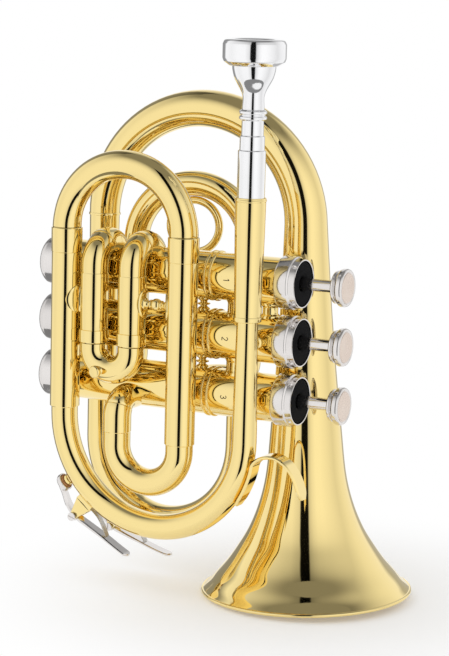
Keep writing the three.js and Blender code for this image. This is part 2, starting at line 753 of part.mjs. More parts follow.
const pistonProfile = [
  [0, 0.6], [6, 0.6], [6, 1.8], [pistonR, 1.8], [pistonR, -96], [pistonBoreR, -96], [pistonBoreR, -81.2], [0, -81.2],
];
const pistonCore = [[0, -1.4], [pistonBoreR, -1.4], [pistonBoreR, -80], [0, -80]];
const buttonProfile = [
  [0, 0.75], [stemR, 0.75], [stemR, 21.6], [6.7, 21.6], [7.1, 22], [7.1, 22.9], [6.5, 23.3],
  [6.5, 23.7], [7.6, 24], [8.25, 24.8], [8.25, 26.4], [7.8, 27.2], [7.1, 27.4], [6.7, 27], [0, 27],
];
const keyTabX = -4;
const pearlProfile = [[0, 27.1], [6.5, 27.1], [6.3, 27.35], [0, 27.4]];
const springR = 6.4;
const springWireR = 0.5;
const springLowX = -118;
const springHighX = -81.9;
const springTurns = 4;
const springSteps = 8;
const springSides = 4;
const keySlotX = -22;
const keySlot = vec(22, 2.4, 1.2);
const keyTab = vec(3, 1.9, 0.9);
const gripNotches = 4;
const gripNotch = vec(1.2, 2.6, 0.5);
const gripNotchX = 5;

function helixGeometry(radius, wireR, from, to, turns, stepsPerTurn, sides) {
  const points = [];
  const count = turns * stepsPerTurn;
  for (let i = 0; i <= count; i += 1) {
    const angle = 2 * Math.PI * i / stepsPerTurn;
    const share = i / count;
    points.push(vec(radius * Math.cos(angle), radius * Math.sin(angle), from + (to - from) * share));
  }
  const stations = points.map((at, i) => {
    const before = points[Math.max(i - 1, 0)];
    const after = points[Math.min(i + 1, count)];
    const heading = after.clone().sub(before).normalize();
    const outward = vec(at.x, at.y, 0).normalize();
    const side = outward.addScaledVector(heading, -outward.dot(heading)).normalize();
    return { at, side, cross: new THREE.Vector3().crossVectors(heading, side), length: 0 };
  });
  return sweepBar(stations, wireR, sides);
}

valveZs.forEach((z, i) => {
  const n = i + 1;
  let casing = toSolid(alongX(closedTurned(casingOuterProfile, casingSides), z));
  for (const port of ports[i]) {
    casing = casing.subtract(port);
  }
  const slot = toSolid(new THREE.BoxGeometry(keySlot.x, keySlot.y, 2 * keySlot.z)
    .translate(keySlotX / 2, valveY, z + casingBoreR));
  addPiece(`casing_${n}`, 'lacquer', toGeometry(joined(casing.subtract(slot), ...solderedTo[i])));

  let cap = toSolid(alongX(closedTurned(topCapProfile, casingSides), z));
  for (let k = 0; k < gripNotches; k += 1) {
    const notch = new THREE.BoxGeometry(gripNotch.x, gripNotch.y, 2 * gripNotch.z)
      .translate(gripNotchX, 0, 10.75).rotateX(2 * Math.PI * (k + half) / gripNotches).translate(0, valveY, z);
    cap = cap.subtract(toSolid(notch));
  }
  addPiece(`top_cap_${n}`, 'nickel', toGeometry(cap));
  addPiece(`bottom_cap_${n}`, 'nickel', alongX(closedTurned(bottomCapProfile, casingSides), z));
  addPiece(`cap_felt_${n}`, 'felt', alongX(closedTurned(feltProfile, casingSides), z));

  let piston = toSolid(alongX(turned(pistonProfile, casingSides), z))
    .subtract(toSolid(alongX(turned(pistonCore, tubeSides), z)));
  for (const port of ports[i]) {
    piston = piston.subtract(port);
  }
  const tab = toSolid(new THREE.BoxGeometry(keyTab.x, keyTab.y, 2 * keyTab.z)
    .translate(keyTabX, valveY, z + pistonR));
  addPiece(`piston_${n}`, 'steel', toGeometry(joined(piston, tab)));
  addPiece(`button_${n}`, 'nickel', alongX(turned(buttonProfile, tubeSides), z));
  addPiece(`button_pearl_${n}`, 'pearl', alongX(turned(pearlProfile, casingSides), z));
  addPiece(`valve_spring_${n}`, 'steel',
    alongX(helixGeometry(springR, springWireR, springLowX, springHighX, springTurns, springSteps, springSides), z));
});

// ball stays between the front tubes
const stayZ = 130.5;
const flangeR = 6.75;
const flangeThick = 0.9;
const stayRodR = 1.5;
const stayBallR = 2.75;

function flangeOn(tubeX, tubeR, toward, seatR) {
  const disc = toSolid(rod(vec(tubeX, frontY, stayZ), toward, tubeR + flangeThick, flangeR, casingSides));
  const shell = new Route(vec(tubeX, frontY, stayZ - 2 * flangeR), up);
  shell.ahead(4 * flangeR);
  const outside = toSolid(sweepBar(shell.stations, tubeR + flangeThick, tubeSides));
  const inside = toSolid(sweepBar(shell.stations, seatR, tubeSides));
  return disc.intersect(outside).subtract(inside);
}

const stayFrom = firstXs[1] + firstOuterR + flangeThick / 2;
const stayTo = t2X - outerTubeR - flangeThick / 2;
const ballStay = joined(
  flangeOn(firstXs[1], firstOuterR, right, firstOuterR + saddleGap),
  flangeOn(t2X, outerTubeR, left, (outerTubeR + outerBoreR) / 2),
  toSolid(rod(vec(stayFrom, frontY, stayZ), right, stayTo - stayFrom, stayRodR, smallSides)),
  toSolid(new THREE.SphereGeometry(stayBallR, smallSides, tinySides)
    .translate((stayFrom + stayTo) / 2, frontY, stayZ)));
addPiece('main_tube_right', 'lacquer', toGeometry(joined(outerTube(t2X, t2LowZ), ballStay)));

const bellBraceX = -6.5;
const bellBraceReach = 12;
const bellPost = toSolid(rod(vec(bellBraceX, valveY + casingR - 1, braceZ), back, bellBraceReach, braceR, smallSides));
addPiece('bell_brace', 'lacquer', toGeometry(bellPost.subtract(casingKeepOut[1]).subtract(bellFilled)));

// flat strips that follow a drawn line in the XZ plane
function stripAlong(points, thickness, width, y) {
  const upper = [];
  const lower = [];
  points.forEach((p, i) => {
    const before = points[Math.max(i - 1, 0)];
    const after = points[Math.min(i + 1, points.length - 1)];
    const run = after.clone().sub(before).normalize();
    const across = new THREE.Vector2(-run.y, run.x).multiplyScalar(thickness / 2);
    upper.push(p.clone().add(across));
    lower.unshift(p.clone().sub(across));
  });
  const shape = new THREE.Shape([...upper, ...lower]);
  return new THREE.ExtrudeGeometry(shape, { depth: width, bevelEnabled: false })
    .rotateX(quarterTurn * degree).translate(0, y + width / 2, 0);
}

function polar(centre, radius, degrees) {
  return new THREE.Vector2(centre.x + radius * Math.cos(degrees * degree),
    centre.y + radius * Math.sin(degrees * degree));
}

// the finger hook on the right side of the front bow
const hookWidth = 8;
const hookThick = 1.7;
const frontRightCentre = new THREE.Vector2(leadX - frontRightR, frontBottomZ + frontRightR);
const hookFootR = frontRightR + frontRightTubeR + 0.25 + hookThick;
const hookFootAngles = [-34, -30, -25, -20, -15];
const hookPoints = hookFootAngles.map((a) => polar(frontRightCentre, hookFootR - hookThick / 2, a));
const hookArch = [
  [-4.6, 66.6], [-1.8, 69], [2, 70.3], [6, 70.2], [10.2, 68.2], [13.6, 64.6], [16.2, 59.6], [18.2, 53.4],
];
hookPoints.push(...hookArch.map(([x, z]) => new THREE.Vector2(x, z)));
addPiece('finger_hook', 'lacquer', toGeometry(
  toSolid(stripAlong(hookPoints, hookThick, hookWidth, frontY)).subtract(frontFilled)));

// water keys: a nipple with its hole, a cork in a cup, a lever on a screw in a saddle, a leaf spring
const nippleR = 2.6;
const waterHoleR = 1.4;
const nippleHeight = 2;
const corkR = 3.2;
const corkHeight = 2;
const cupR = 4;
const keyLift = 8.9;
const leverWidth = 4.4;
const leverThick = 1.5;
const barrelR = 2.2;
const screwR = 1;
const screwHeadR = 1.9;
const lugWidth = 1;
const keyClear = 0.25;

function waterKey(tag, centre, bendR, tubeR, y, pivotAngle, cupTurn, tailTurn, cutter, rootBar, bowTube) {
  const surfaceR = bendR + tubeR;
  const pivot = polar(centre, surfaceR + keyLift, pivotAngle);
  const cupAngle = pivotAngle - cupTurn;
  const cupAim2 = polar(new THREE.Vector2(0, 0), 1, cupAngle);
  const aim = vec(cupAim2.x, 0, cupAim2.y);
  const rootOf = (radius) => vec(centre.x + cupAim2.x * radius, y, centre.y + cupAim2.y * radius);
  const nippleTopR = surfaceR + nippleHeight;
  const hole = toSolid(rod(rootOf(bendR + 2 * screwR), aim, tubeR + nippleHeight, waterHoleR, tinySides));
  const nipple = toSolid(rod(rootOf(surfaceR - 1), aim, nippleHeight + 1, nippleR, smallSides)).subtract(rootBar);
  const corkFoot = rootOf(nippleTopR + 0.1);
  addPiece(`${tag}_cork`, 'cork', rod(corkFoot, aim, corkHeight, corkR, smallSides));
  const cupProfile = [
    [0, corkHeight + 0.1], [corkR + 0.15, corkHeight + 0.1], [corkR + 0.15, 0.7], [cupR, 0.8], [cupR, 2.6],
    [2.6, 3.6], [0, 3.6],
  ];
  const cup = toSolid(layAlong(turned(cupProfile, tubeSides), aim, corkFoot));
  const lever = [
    [cupTurn, 3.6 + nippleHeight + 0.5], [cupTurn * 0.72, keyLift - 2.6], [cupTurn * 0.4, keyLift - 0.9], [0, keyLift],
    [-tailTurn * 0.25, keyLift - 1.2], [-tailTurn * 0.5, keyLift - 1.5], [-tailTurn * 0.75, keyLift - 0.4],
    [-tailTurn * 0.92, keyLift + 1], [-tailTurn, keyLift + 1.3],
  ].map(([turnBack, lift]) => polar(centre, surfaceR + lift, pivotAngle - turnBack));
  const barrel = rod(vec(pivot.x, y + leverWidth / 2, pivot.y), fore, leverWidth, barrelR, smallSides);
  const screwHole = toSolid(rod(vec(pivot.x, y + leverWidth, pivot.y), fore, 2 * leverWidth, screwR + 0.15,
    tinySides));
  const body = toSolid(stripAlong(lever, leverThick, leverWidth, y)).add(toSolid(barrel)).add(cup);
  const keepCork = toSolid(rod(corkFoot.clone().addScaledVector(aim, -corkHeight), aim,
    2 * corkHeight + 0.1, corkR + 0.15, smallSides));
  addPiece(`${tag}_lever`, 'nickel', toGeometry(body.subtract(screwHole).subtract(keepCork)));

  const lugInner = leverWidth / 2 + keyClear;
  const lugOuter = lugInner + lugWidth;
  const saddleTurn = 4.2 / surfaceR / degree;
  const saddleShape = new THREE.Shape([
    polar(centre, surfaceR - 1.5, pivotAngle - saddleTurn), polar(centre, surfaceR + 1.2, pivotAngle - saddleTurn),
    polar(centre, surfaceR + keyLift + 1.4, pivotAngle - saddleTurn / 4),
    polar(centre, surfaceR + keyLift + 1.4, pivotAngle + saddleTurn / 3),
    polar(centre, surfaceR + 1.2, pivotAngle + saddleTurn), polar(centre, surfaceR - 1.5, pivotAngle + saddleTurn),
  ]);
  const block = toSolid(new THREE.ExtrudeGeometry(saddleShape, { depth: 2 * lugOuter, bevelEnabled: false })
    .rotateX(quarterTurn * degree).translate(0, y + lugOuter, 0));
  const channel = toSolid(rod(vec(pivot.x, y + lugInner, pivot.y), fore, 2 * lugInner, keyLift - 1.6, casingSides));
  addPiece(`${tag}_saddle`, 'lacquer',
    toGeometry(block.subtract(channel).subtract(screwHole).subtract(cutter)));
  const screwProfile = [
    [0, 0], [screwHeadR, 0], [screwHeadR, 0.9], [screwR, 1.1], [screwR, 2 * lugOuter + 1.6], [0, 2 * lugOuter + 1.6],
  ];
  const slotBox = toSolid(new THREE.BoxGeometry(2 * screwHeadR + 1, 0.8, 0.5)
    .translate(pivot.x, y - lugOuter - 1.2, pivot.y));
  const screw = toSolid(layAlong(turned(screwProfile, smallSides), back,
    vec(pivot.x, y - lugOuter - 1.2, pivot.y)));
  addPiece(`${tag}_screw`, 'nickel', toGeometry(screw.subtract(slotBox)));
  const leaf = [
    [0.12, 0.8], [-0.1, 1], [-0.28, 2.6], [-0.42, keyLift - 1.4 - leverThick / 2 - 0.5],
  ].map(([share, lift]) => polar(centre, surfaceR + lift, pivotAngle + saddleTurn + tailTurn * (-share)));
  addPiece(`${tag}_spring`, 'steel',
    toGeometry(toSolid(stripAlong(leaf.slice(1), 0.4, leverWidth - 1, y)).subtract(cutter)));
  return toGeometry(joined(bowTube, nipple).subtract(hole));
}
const frontLeftCentre = new THREE.Vector2(t1X + frontLeftR, frontBottomZ + frontLeftR);
addPiece('front_bow', 'lacquer', waterKey('front_key', frontLeftCentre, frontLeftR, frontLeftTubeR, frontY,
  229.7, 14.4, 28.8, frontFilled, frontRoot, frontTube));
const rearLeftCentre = new THREE.Vector2(tailTop.x + rearLeftR, rearBottomZ + rearLeftR);
addPiece('rear_bow', 'lacquer', waterKey('rear_key', rearLeftCentre, rearLeftR, rearR, tailTop.y - 1,
  236.7, 18, 37, rearFilled, rearRoot, rearTube));

export default group;
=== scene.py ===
"""A pocket trumpet standing on its bell: lacquered brass, silver mouthpiece, nickel caps and buttons."""
import json
import math

import bpy
from mathutils import Matrix, Vector


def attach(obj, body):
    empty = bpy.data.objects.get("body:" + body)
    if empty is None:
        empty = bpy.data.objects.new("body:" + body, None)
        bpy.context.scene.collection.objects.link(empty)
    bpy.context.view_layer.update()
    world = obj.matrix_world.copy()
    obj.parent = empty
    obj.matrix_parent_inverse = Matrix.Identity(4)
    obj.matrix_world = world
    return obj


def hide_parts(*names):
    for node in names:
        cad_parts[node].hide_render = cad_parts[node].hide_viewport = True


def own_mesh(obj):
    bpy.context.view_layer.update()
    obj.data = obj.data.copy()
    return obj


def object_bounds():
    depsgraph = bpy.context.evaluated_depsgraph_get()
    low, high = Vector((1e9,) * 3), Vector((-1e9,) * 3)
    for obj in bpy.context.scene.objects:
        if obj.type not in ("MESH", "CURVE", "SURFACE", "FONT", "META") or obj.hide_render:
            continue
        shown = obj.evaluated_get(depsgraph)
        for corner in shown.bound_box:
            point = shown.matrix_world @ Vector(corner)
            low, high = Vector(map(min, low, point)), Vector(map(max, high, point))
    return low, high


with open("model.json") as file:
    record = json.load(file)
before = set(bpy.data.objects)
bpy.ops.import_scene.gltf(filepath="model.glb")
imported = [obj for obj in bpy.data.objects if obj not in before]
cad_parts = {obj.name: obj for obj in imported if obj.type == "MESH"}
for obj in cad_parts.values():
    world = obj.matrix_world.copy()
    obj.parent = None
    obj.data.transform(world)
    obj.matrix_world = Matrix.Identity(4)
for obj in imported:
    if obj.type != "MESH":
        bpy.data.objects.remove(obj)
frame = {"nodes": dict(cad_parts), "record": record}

cad_low, cad_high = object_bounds()

# Lengths in this script are millimetres, and every mesh is scaled to metres when it is made.
MM = 0.001
UP = Vector((0, 0, 1))
DOWN = Vector((0, 0, -1))
RIGHT = Vector((1, 0, 0))
LEFT = Vector((-1, 0, 0))
BACK = Vector((0, 1, 0))
FORE = Vector((0, -1, 0))
QUARTER = 90
HALF_TURN = 180
TINY = 1e-6
# Degrees from one ring of a bend to the next, and the sides of what is round.
BEND_STEP = 4
SMALL_SIDES = 24
PIN_SIDES = 32
TUBE_SIDES = 48
ROUND_SIDES = 64
FINE_SIDES = 96
# Smooth shading stops at an edge that turns by more than these degrees.
SHARP_ANGLE = 38


def vec(x, y, z):
    return Vector((x, y, z))


def spaced(start, end, steps):
    """The numbers from start to end in even steps."""
    return [start + (end - start) * k / steps for k in range(steps + 1)]


def circle(sides):
    """The angles of a ring's points."""
    return spaced(0, 2 * math.pi, sides)[:-1]


class Route:
    """A centreline of straight runs and bends, walked like a path."""

    def __init__(self, start, heading):
        self.at = Vector(start)
        self.heading = Vector(heading).normalized()
        hint = RIGHT if abs(self.heading.y) > 0.5 else BACK
        self.side = (hint - self.heading * hint.dot(self.heading)).normalized()
        self.length = 0.0
        self.stations = []
        self.mark()

    def mark(self):
        cross = self.heading.cross(self.side)
        self.stations.append((self.at.copy(), self.side.copy(), cross, self.length))

    def ahead(self, distance):
        self.at += self.heading * distance
        self.length += distance
        self.mark()
        return self

    def turn(self, toward, degrees, radius):
        inward = (toward - self.heading * toward.dot(self.heading)).normalized()
        axis = self.heading.cross(inward)
        centre = self.at + inward * radius
        steps = max(2, round(degrees / BEND_STEP))
        step = Matrix.Rotation(math.radians(degrees) / steps, 3, axis)
        for _ in range(steps):
            self.at = centre + step @ (self.at - centre)
            self.heading = step @ self.heading
            self.side = step @ self.side
            self.length += radius * math.radians(degrees) / steps
            self.mark()
        return self

    def dressed(self, lengths):
        """The stations, with one more at each of these lengths."""
        out = []
        for here, after in zip(self.stations, self.stations[1:] + [None]):
            out.append(here)
            if after is None:
                continue
            for wanted in sorted(set(lengths)):
                if here[3] + TINY < wanted < after[3] - TINY:
                    share = (wanted - here[3]) / (after[3] - here[3])
                    out.append((here[0].lerp(after[0], share), here[1], here[2], wanted))
        return out


def radius_at(sizes, length):
    """The radius at a length, where sizes is one radius or a list of (length, radius) pairs."""
    if not isinstance(sizes, list):
        return sizes
    for (before, before_r), (after, after_r) in zip(sizes, sizes[1:]):
        if length <= after + TINY:
            share = (length - before) / (after - before) if after > before else 1
            return before_r + (after_r - before_r) * share
    return sizes[-1][1]


def wound(outline):
    """The outline in the order that encloses a positive area."""
    area = sum(a[0] * b[1] - b[0] * a[1] for a, b in zip(outline, outline[1:] + outline[:1]))
    return outline if area > 0 else outline[::-1]


class Shape:
    """Vertices and faces gathered for one piece."""

    def __init__(self):
        self.points = []
        self.faces = []

    def ring(self, at, side, cross, radius, sides):
        start = len(self.points)
        for angle in circle(sides):
            reach = radius(angle) if callable(radius) else radius
            self.points.append(at + side * reach * math.cos(angle) + cross * reach * math.sin(angle))
        return start

    def bridge(self, a, b, sides, flip=False):
        for i in range(sides):
            j = (i + 1) % sides
            quad = (a + i, a + j, b + j, b + i)
            self.faces.append(quad[::-1] if flip else quad)

    def fan(self, tip, first, sides, flip=False):
        """Joins a point to the ring that starts at first."""
        for i in range(sides):
            pair = (first + i, first + (i + 1) % sides)
            self.faces.append((tip, *(pair[::-1] if flip else pair)))

    def bar(self, rings, sides):
        """Joins the rings, given by their first points, into a bar closed at both ends."""
        for a, b in zip(rings, rings[1:]):
            self.bridge(a, b, sides)
        self.faces.append(tuple(rings[0] + i for i in reversed(range(sides))))
        self.faces.append(tuple(rings[-1] + i for i in range(sides)))

    def sweep(self, route, outer, inner, sides=TUBE_SIDES):
        """A tube along the route, with sizes as in radius_at."""
        marks = [at for sizes in (outer, inner) if isinstance(sizes, list) for at, _ in sizes]
        stations = route.dressed(marks)
        skins = []
        for sizes in (outer, inner):
            rings = [self.ring(at, side, cross, radius_at(sizes, length), sides)
                     for at, side, cross, length in stations]
            for a, b in zip(rings, rings[1:]):
                self.bridge(a, b, sides, flip=bool(skins))
            skins.append(rings)
        self.bridge(skins[0][0], skins[1][0], sides, flip=True)
        self.bridge(skins[0][-1], skins[1][-1], sides)
        return self

    def turned(self, profile, place, axis, sides=ROUND_SIDES, dent=None):
        """A turned form: (radius, height) pairs round the axis, on the axis at both ends or closed on itself.

        A dent gives how far the surface lies back at an angle and a height.
        """
        axis = Vector(axis).normalized()
        hint = RIGHT if abs(axis.x) < 0.5 else BACK
        side = (hint - axis * hint.dot(axis)).normalized()
        cross = axis.cross(side)
        open_ends = profile[0][0] == 0 and profile[-1][0] == 0
        points = wound(profile)
        rings = []
        for radius, height in points:
            at = Vector(place) + axis * height
            if radius == 0:
                rings.append((len(self.points), True))
                self.points.append(at)
            else:
                reach = radius
                if dent:
                    def reach(angle, full=radius, level=height):
                        return full - dent(angle, level)
                rings.append((self.ring(at, side, cross, reach, sides), False))
        pairs = list(zip(rings, rings[1:])) + ([] if open_ends else [(rings[-1], rings[0])])
        for (a, a_tip), (b, b_tip) in pairs:
            if a_tip:
                self.fan(a, b, sides, flip=True)
            elif b_tip:
                self.fan(b, a, sides)
            else:
                self.bridge(a, b, sides)
        return self

    def end_on_casing(self, z, heading):
        """Draws what reaches into a casing back along the heading, until it lies in the casing's wall."""
        for i, point in enumerate(self.points):
            off = Vector((point.y - VALVE_Y, point.z - z))
            run = Vector((heading.y, heading.z))
            depth = (CASING_R - SEAT) ** 2 - off.length_squared
            if depth > 0 and CASING_LOW_X < point.x < CASING_TOP_X:
                ahead = off.dot(run)
                back = (ahead + math.sqrt(ahead ** 2 + run.length_squared * depth)) / run.length_squared
                self.points[i] = point - heading * back
        return self

    def plate(self, outline, y_low, y_high):
        """A flat plate square to Y, with an outline of (x, z) points."""
        count = len(outline)
        points = wound(outline)
        start = len(self.points)
        for y in (y_low, y_high):
            self.points += [vec(x, y, z) for x, z in points]
        self.faces.append(tuple(start + i for i in range(count)))
        self.faces.append(tuple(start + count + i for i in reversed(range(count))))
        for i in range(count):
            j = (i + 1) % count
            self.faces.append((start + j, start + i, start + count + i, start + count + j))
        return self

    def join(self, other):
        """Takes in all of another shape."""
        start = len(self.points)
        self.points += other.points
        self.faces += [tuple(start + i for i in face) for face in other.faces]
        return self

    def ball(self, centre, radius):
        angles = spaced(0, math.pi, SMALL_SIDES // 2)[1:-1]
        profile = [(radius * math.sin(angle), -radius * math.cos(angle)) for angle in angles]
        return self.turned([(0, -radius), *profile, (0, radius)], centre, UP, SMALL_SIDES)


# A corner flatter than the angle stays as it is; easing takes up to a share of each side, in a few steps.
FLAT_ANGLE = math.radians(14)
EASED_SHARE = 0.42
EASED_STEPS = 3


def rounded(profile, radius, closed=True):
    """The profile with its corners rounded by up to this radius, apart from those on the axis."""
    count = len(profile)
    out = []
    for i, (r, h) in enumerate(profile):
        before = profile[i - 1] if i or closed else None
        after = profile[(i + 1) % count] if i < count - 1 or closed else None
        if before is None or after is None or r == 0:
            out.append((r, h))
            continue
        here = Vector((r, h))
        to_before = Vector(before) - here
        to_after = Vector(after) - here
        turn = math.pi - to_before.angle(to_after, math.pi)
        if turn < FLAT_ANGLE:
            out.append((r, h))
            continue
        reach = min(radius, EASED_SHARE * to_before.length, EASED_SHARE * to_after.length)
        a = here + to_before.normalized() * reach
        b = here + to_after.normalized() * reach
        for t in spaced(0, 1, EASED_STEPS):
            p = a * (1 - t) ** 2 + here * 2 * t * (1 - t) + b * t * t
            out.append((p.x, p.y))
    return out


def mixed(p, q, start, end, t):
    return p * ((end - t) / (end - start)) + q * ((t - start) / (end - start))


def flowing(points, per_span=6):
    """A smooth line through the points, as a centripetal spline."""
    pts = [Vector(p) for p in points]
    ends = [pts[0] * 2 - pts[1], *pts, pts[-1] * 2 - pts[-2]]
    out = []
    for i in range(1, len(ends) - 2):
        p0, p1, p2, p3 = ends[i - 1:i + 3]
        t0 = 0.0
        t1 = t0 + math.sqrt((p1 - p0).length)
        t2 = t1 + math.sqrt((p2 - p1).length)
        t3 = t2 + math.sqrt((p3 - p2).length)
        for t in spaced(t1, t2, per_span)[:-1]:
            a1 = mixed(p0, p1, t0, t1, t)
            a2 = mixed(p1, p2, t1, t2, t)
            a3 = mixed(p2, p3, t2, t3, t)
            b1 = mixed(a1, a2, t0, t2, t)
            b2 = mixed(a2, a3, t1, t3, t)
            out.append(tuple(mixed(b1, b2, t1, t2, t)))
    out.append(tuple(pts[-1]))
    return out


def inset(profile, depth):
    """The profile moved square to itself by the depth."""
    out = []
    for i, (r, h) in enumerate(profile):
        r0, h0 = profile[max(i - 1, 0)]
        r1, h1 = profile[min(i + 1, len(profile) - 1)]
        run = Vector((r1 - r0, h1 - h0)).normalized()
        out.append((r - depth * run.y, h + depth * run.x))
    return out


def polar(centre, radius, degrees):
    angle = math.radians(degrees)
    return (centre[0] + radius * math.cos(angle), centre[1] + radius * math.sin(angle))


# Materials

class Nodes:
    """A short way to build the node tree of a material or the world."""

    def __init__(self, owner, shader="Principled BSDF"):
        owner.use_nodes = True
        self.owner = owner
        self.tree = owner.node_tree
        self.shader = self.tree.nodes[shader]

    def feed(self, into, value):
        """Gives an input its value, or the output of another node."""
        if isinstance(value, bpy.types.NodeSocket):
            self.tree.links.new(value, into)
        else:
            into.default_value = value

    def add(self, kind, *numbered, **named):
        """A new node: its first inputs in a row, then settings and inputs by name, with _ for a space."""
        node = self.tree.nodes.new(kind)
        for name, value in named.items():
            if hasattr(node, name):
                setattr(node, name, value)
            else:
                self.feed(node.inputs[name.replace("_", " ")], value)
        for into, value in zip(node.inputs, numbered):
            self.feed(into, value)
        return node

    def shade(self, **named):
        """Feeds the shader's inputs, and gives back the material or world."""
        for name, value in named.items():
            self.feed(self.shader.inputs[name.replace("_", " ")], value)
        return self.owner

    def surface(self, node):
        """Shows this node in place of the shader, and gives back the material."""
        self.feed(self.tree.nodes["Material Output"].inputs["Surface"], node.outputs[0])
        return self.owner

    def place(self):
        return self.add("ShaderNodeTexCoord").outputs["Object"]

    def noise(self, scale, detail=3.0, roughness=0.55, stretch=(1, 1, 1)):
        where = self.add("ShaderNodeMapping", Vector=self.place(), Scale=stretch).outputs["Vector"]
        noise = self.add("ShaderNodeTexNoise", Vector=where, Scale=scale, Detail=detail, Roughness=roughness)
        return noise.outputs["Fac"]

    def ranged(self, value, low, high, start=0.3, end=0.7, way="LINEAR"):
        """From low to high as the value runs from start to end."""
        node = self.add("ShaderNodeMapRange", interpolation_type=way, Value=value,
                        From_Min=start, From_Max=end, To_Min=low, To_Max=high)
        return node.outputs["Result"]

    def ramp(self, value, stops):
        """The colour at the value, between (position, colour) stops."""
        node = self.add("ShaderNodeValToRGB", Fac=value)
        elements = node.color_ramp.elements
        while len(elements) < len(stops):
            elements.new(0.5)
        for element, (position, colour) in zip(elements, stops):
            element.position = position
            element.color = (*colour, 1)
        return node.outputs["Color"]

    def blend(self, value, first, second, low=0.35, high=0.65):
        return self.ramp(value, [(low, first), (high, second)])

    def bump(self, *heights):
        """Bump from (height, distance in metres) pairs, one on the other."""
        under = {}
        for height, distance in heights:
            node = self.add("ShaderNodeBump", Height=height, Distance=distance, **under)
            under = {"Normal": node.outputs["Normal"]}
        self.shade(**under)


def polished_metal(name, colour, deep, rough_low, rough_high, coat):
    """A polished, plated or lacquered metal: faint tint drift, smears, buffing lines and a clear coat."""
    nodes = Nodes(bpy.data.materials.new(name))
    smears = nodes.noise(160, 5, 0.6, stretch=(1, 1, 0.35))
    buffing = nodes.noise(900, 2, 0.5, stretch=(1, 1, 0.08))
    nodes.bump((nodes.noise(38, 2), 0.00005), (buffing, 0.0000015))
    return nodes.shade(Base_Color=nodes.blend(nodes.noise(45, 4), deep, colour), Metallic=1.0,
                       Roughness=nodes.ranged(smears, rough_low, rough_high),
                       Coat_Weight=coat, Coat_Roughness=0.04)


def satin_metal(name, colour, deep, rough_low, rough_high):
    """A drawn or lapped bare metal with fine lines round it."""
    nodes = Nodes(bpy.data.materials.new(name))
    lines = nodes.noise(1400, 3, 0.6, stretch=(0.06, 1, 1))
    nodes.bump((lines, 0.00001))
    return nodes.shade(Base_Color=nodes.blend(lines, deep, colour), Metallic=1.0,
                       Roughness=nodes.ranged(lines, rough_low, rough_high))


def grained(name, noise, first, second, rough_low, rough_high, relief, **more):
    """A material whose colour, roughness and relief all follow one noise: its scale, detail and roughness."""
    nodes = Nodes(bpy.data.materials.new(name))
    grain = nodes.noise(*noise)
    nodes.bump((grain, relief))
    return nodes.shade(Base_Color=nodes.blend(grain, first, second),
                       Roughness=nodes.ranged(grain, rough_low, rough_high), **more)


def cork_material(name):
    nodes = Nodes(bpy.data.materials.new(name))
    cells = nodes.add("ShaderNodeTexVoronoi", Vector=nodes.place(), Scale=1100).outputs["Distance"]
    nodes.bump((cells, 0.0001))
    return nodes.shade(Base_Color=nodes.blend(cells, (0.2, 0.07, 0.02), (0.5, 0.24, 0.09), 0.1, 0.6),
                       Roughness=nodes.ranged(nodes.noise(500), 0.6, 0.9))


BRASS = (0.94, 0.755, 0.33)
BRASS_DEEP = (0.94, 0.75, 0.33)
MATERIALS = {
    "lacquered_brass": polished_metal("lacquered_brass", BRASS, BRASS_DEEP, 0.02, 0.05, 0.15),
    "silver_plate": polished_metal("silver_plate", (0.94, 0.94, 0.95), (0.9, 0.9, 0.91), 0.04, 0.09, 0),
    "nickel_plate": polished_metal("nickel_plate", (0.8, 0.77, 0.75), (0.74, 0.71, 0.69), 0.08, 0.15, 0),
    "piston_metal": satin_metal("piston_metal", (0.75, 0.75, 0.74), (0.6, 0.6, 0.6), 0.22, 0.36),
    "spring_steel": satin_metal("spring_steel", (0.62, 0.6, 0.55), (0.45, 0.43, 0.4), 0.25, 0.4),
    "black_felt": grained("black_felt", (2600, 4, 0.7), (0.002, 0.002, 0.0025), (0.009, 0.009, 0.01),
                          0.8, 1.0, 0.0002, Specular_IOR_Level=0.15),
    "cork": cork_material("cork"),
    "peach_pearl": grained("button_face", (120, 3, 0.5), (0.76, 0.63, 0.54), (0.81, 0.69, 0.6),
                           0.25, 0.33, 0.00001, Metallic=0.5),
}
ENGRAVED = grained("engraved_brass", (3000, 3, 0.6), (0.03, 0.017, 0.004), (0.08, 0.05, 0.015),
                   0.4, 0.6, 0.00002, Metallic=0.6)

SLOT_OF = {part["node"]: part["material_slot"] for part in frame["record"]["subparts"]}
BODY_OF = {node: body for body, nodes in frame["record"]["behaviour"]["bodies"].items() for node in nodes}
for node, obj in frame["nodes"].items():
    obj.data.materials.clear()
    obj.data.materials.append(MATERIALS[SLOT_OF[node]])


def mesh_object(name, shape, material):
    """The shape as an object in the scene."""
    mesh = bpy.data.meshes.new(name)
    mesh.from_pydata([p * MM for p in shape.points], [], shape.faces)
    mesh.materials.append(material)
    obj = bpy.data.objects.new(name, mesh)
    bpy.context.scene.collection.objects.link(obj)
    return obj


def form(name, shape, material, bevel=0):
    """The shape as a smooth object with sharp corners kept and, if asked, its edges rounded."""
    obj = mesh_object(name, shape, material)
    mesh = obj.data
    mesh.validate()
    for polygon in mesh.polygons:
        polygon.use_smooth = True
    mesh.set_sharp_from_angle(angle=math.radians(SHARP_ANGLE))
    if bevel:
        modifier = obj.modifiers.new("edges", "BEVEL")
        modifier.width = bevel * MM
        modifier.segments = 3
        modifier.limit_method = "ANGLE"
        modifier.harden_normals = True
    return obj


def piece(node, shape, bevel=0):
    """Makes a shape into the piece that stands for the node, on its body and with its finish."""
    obj = form(node + "_form", shape, MATERIALS[SLOT_OF[node]], bevel)
    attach(obj, BODY_OF[node])
    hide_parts(node)
    return obj


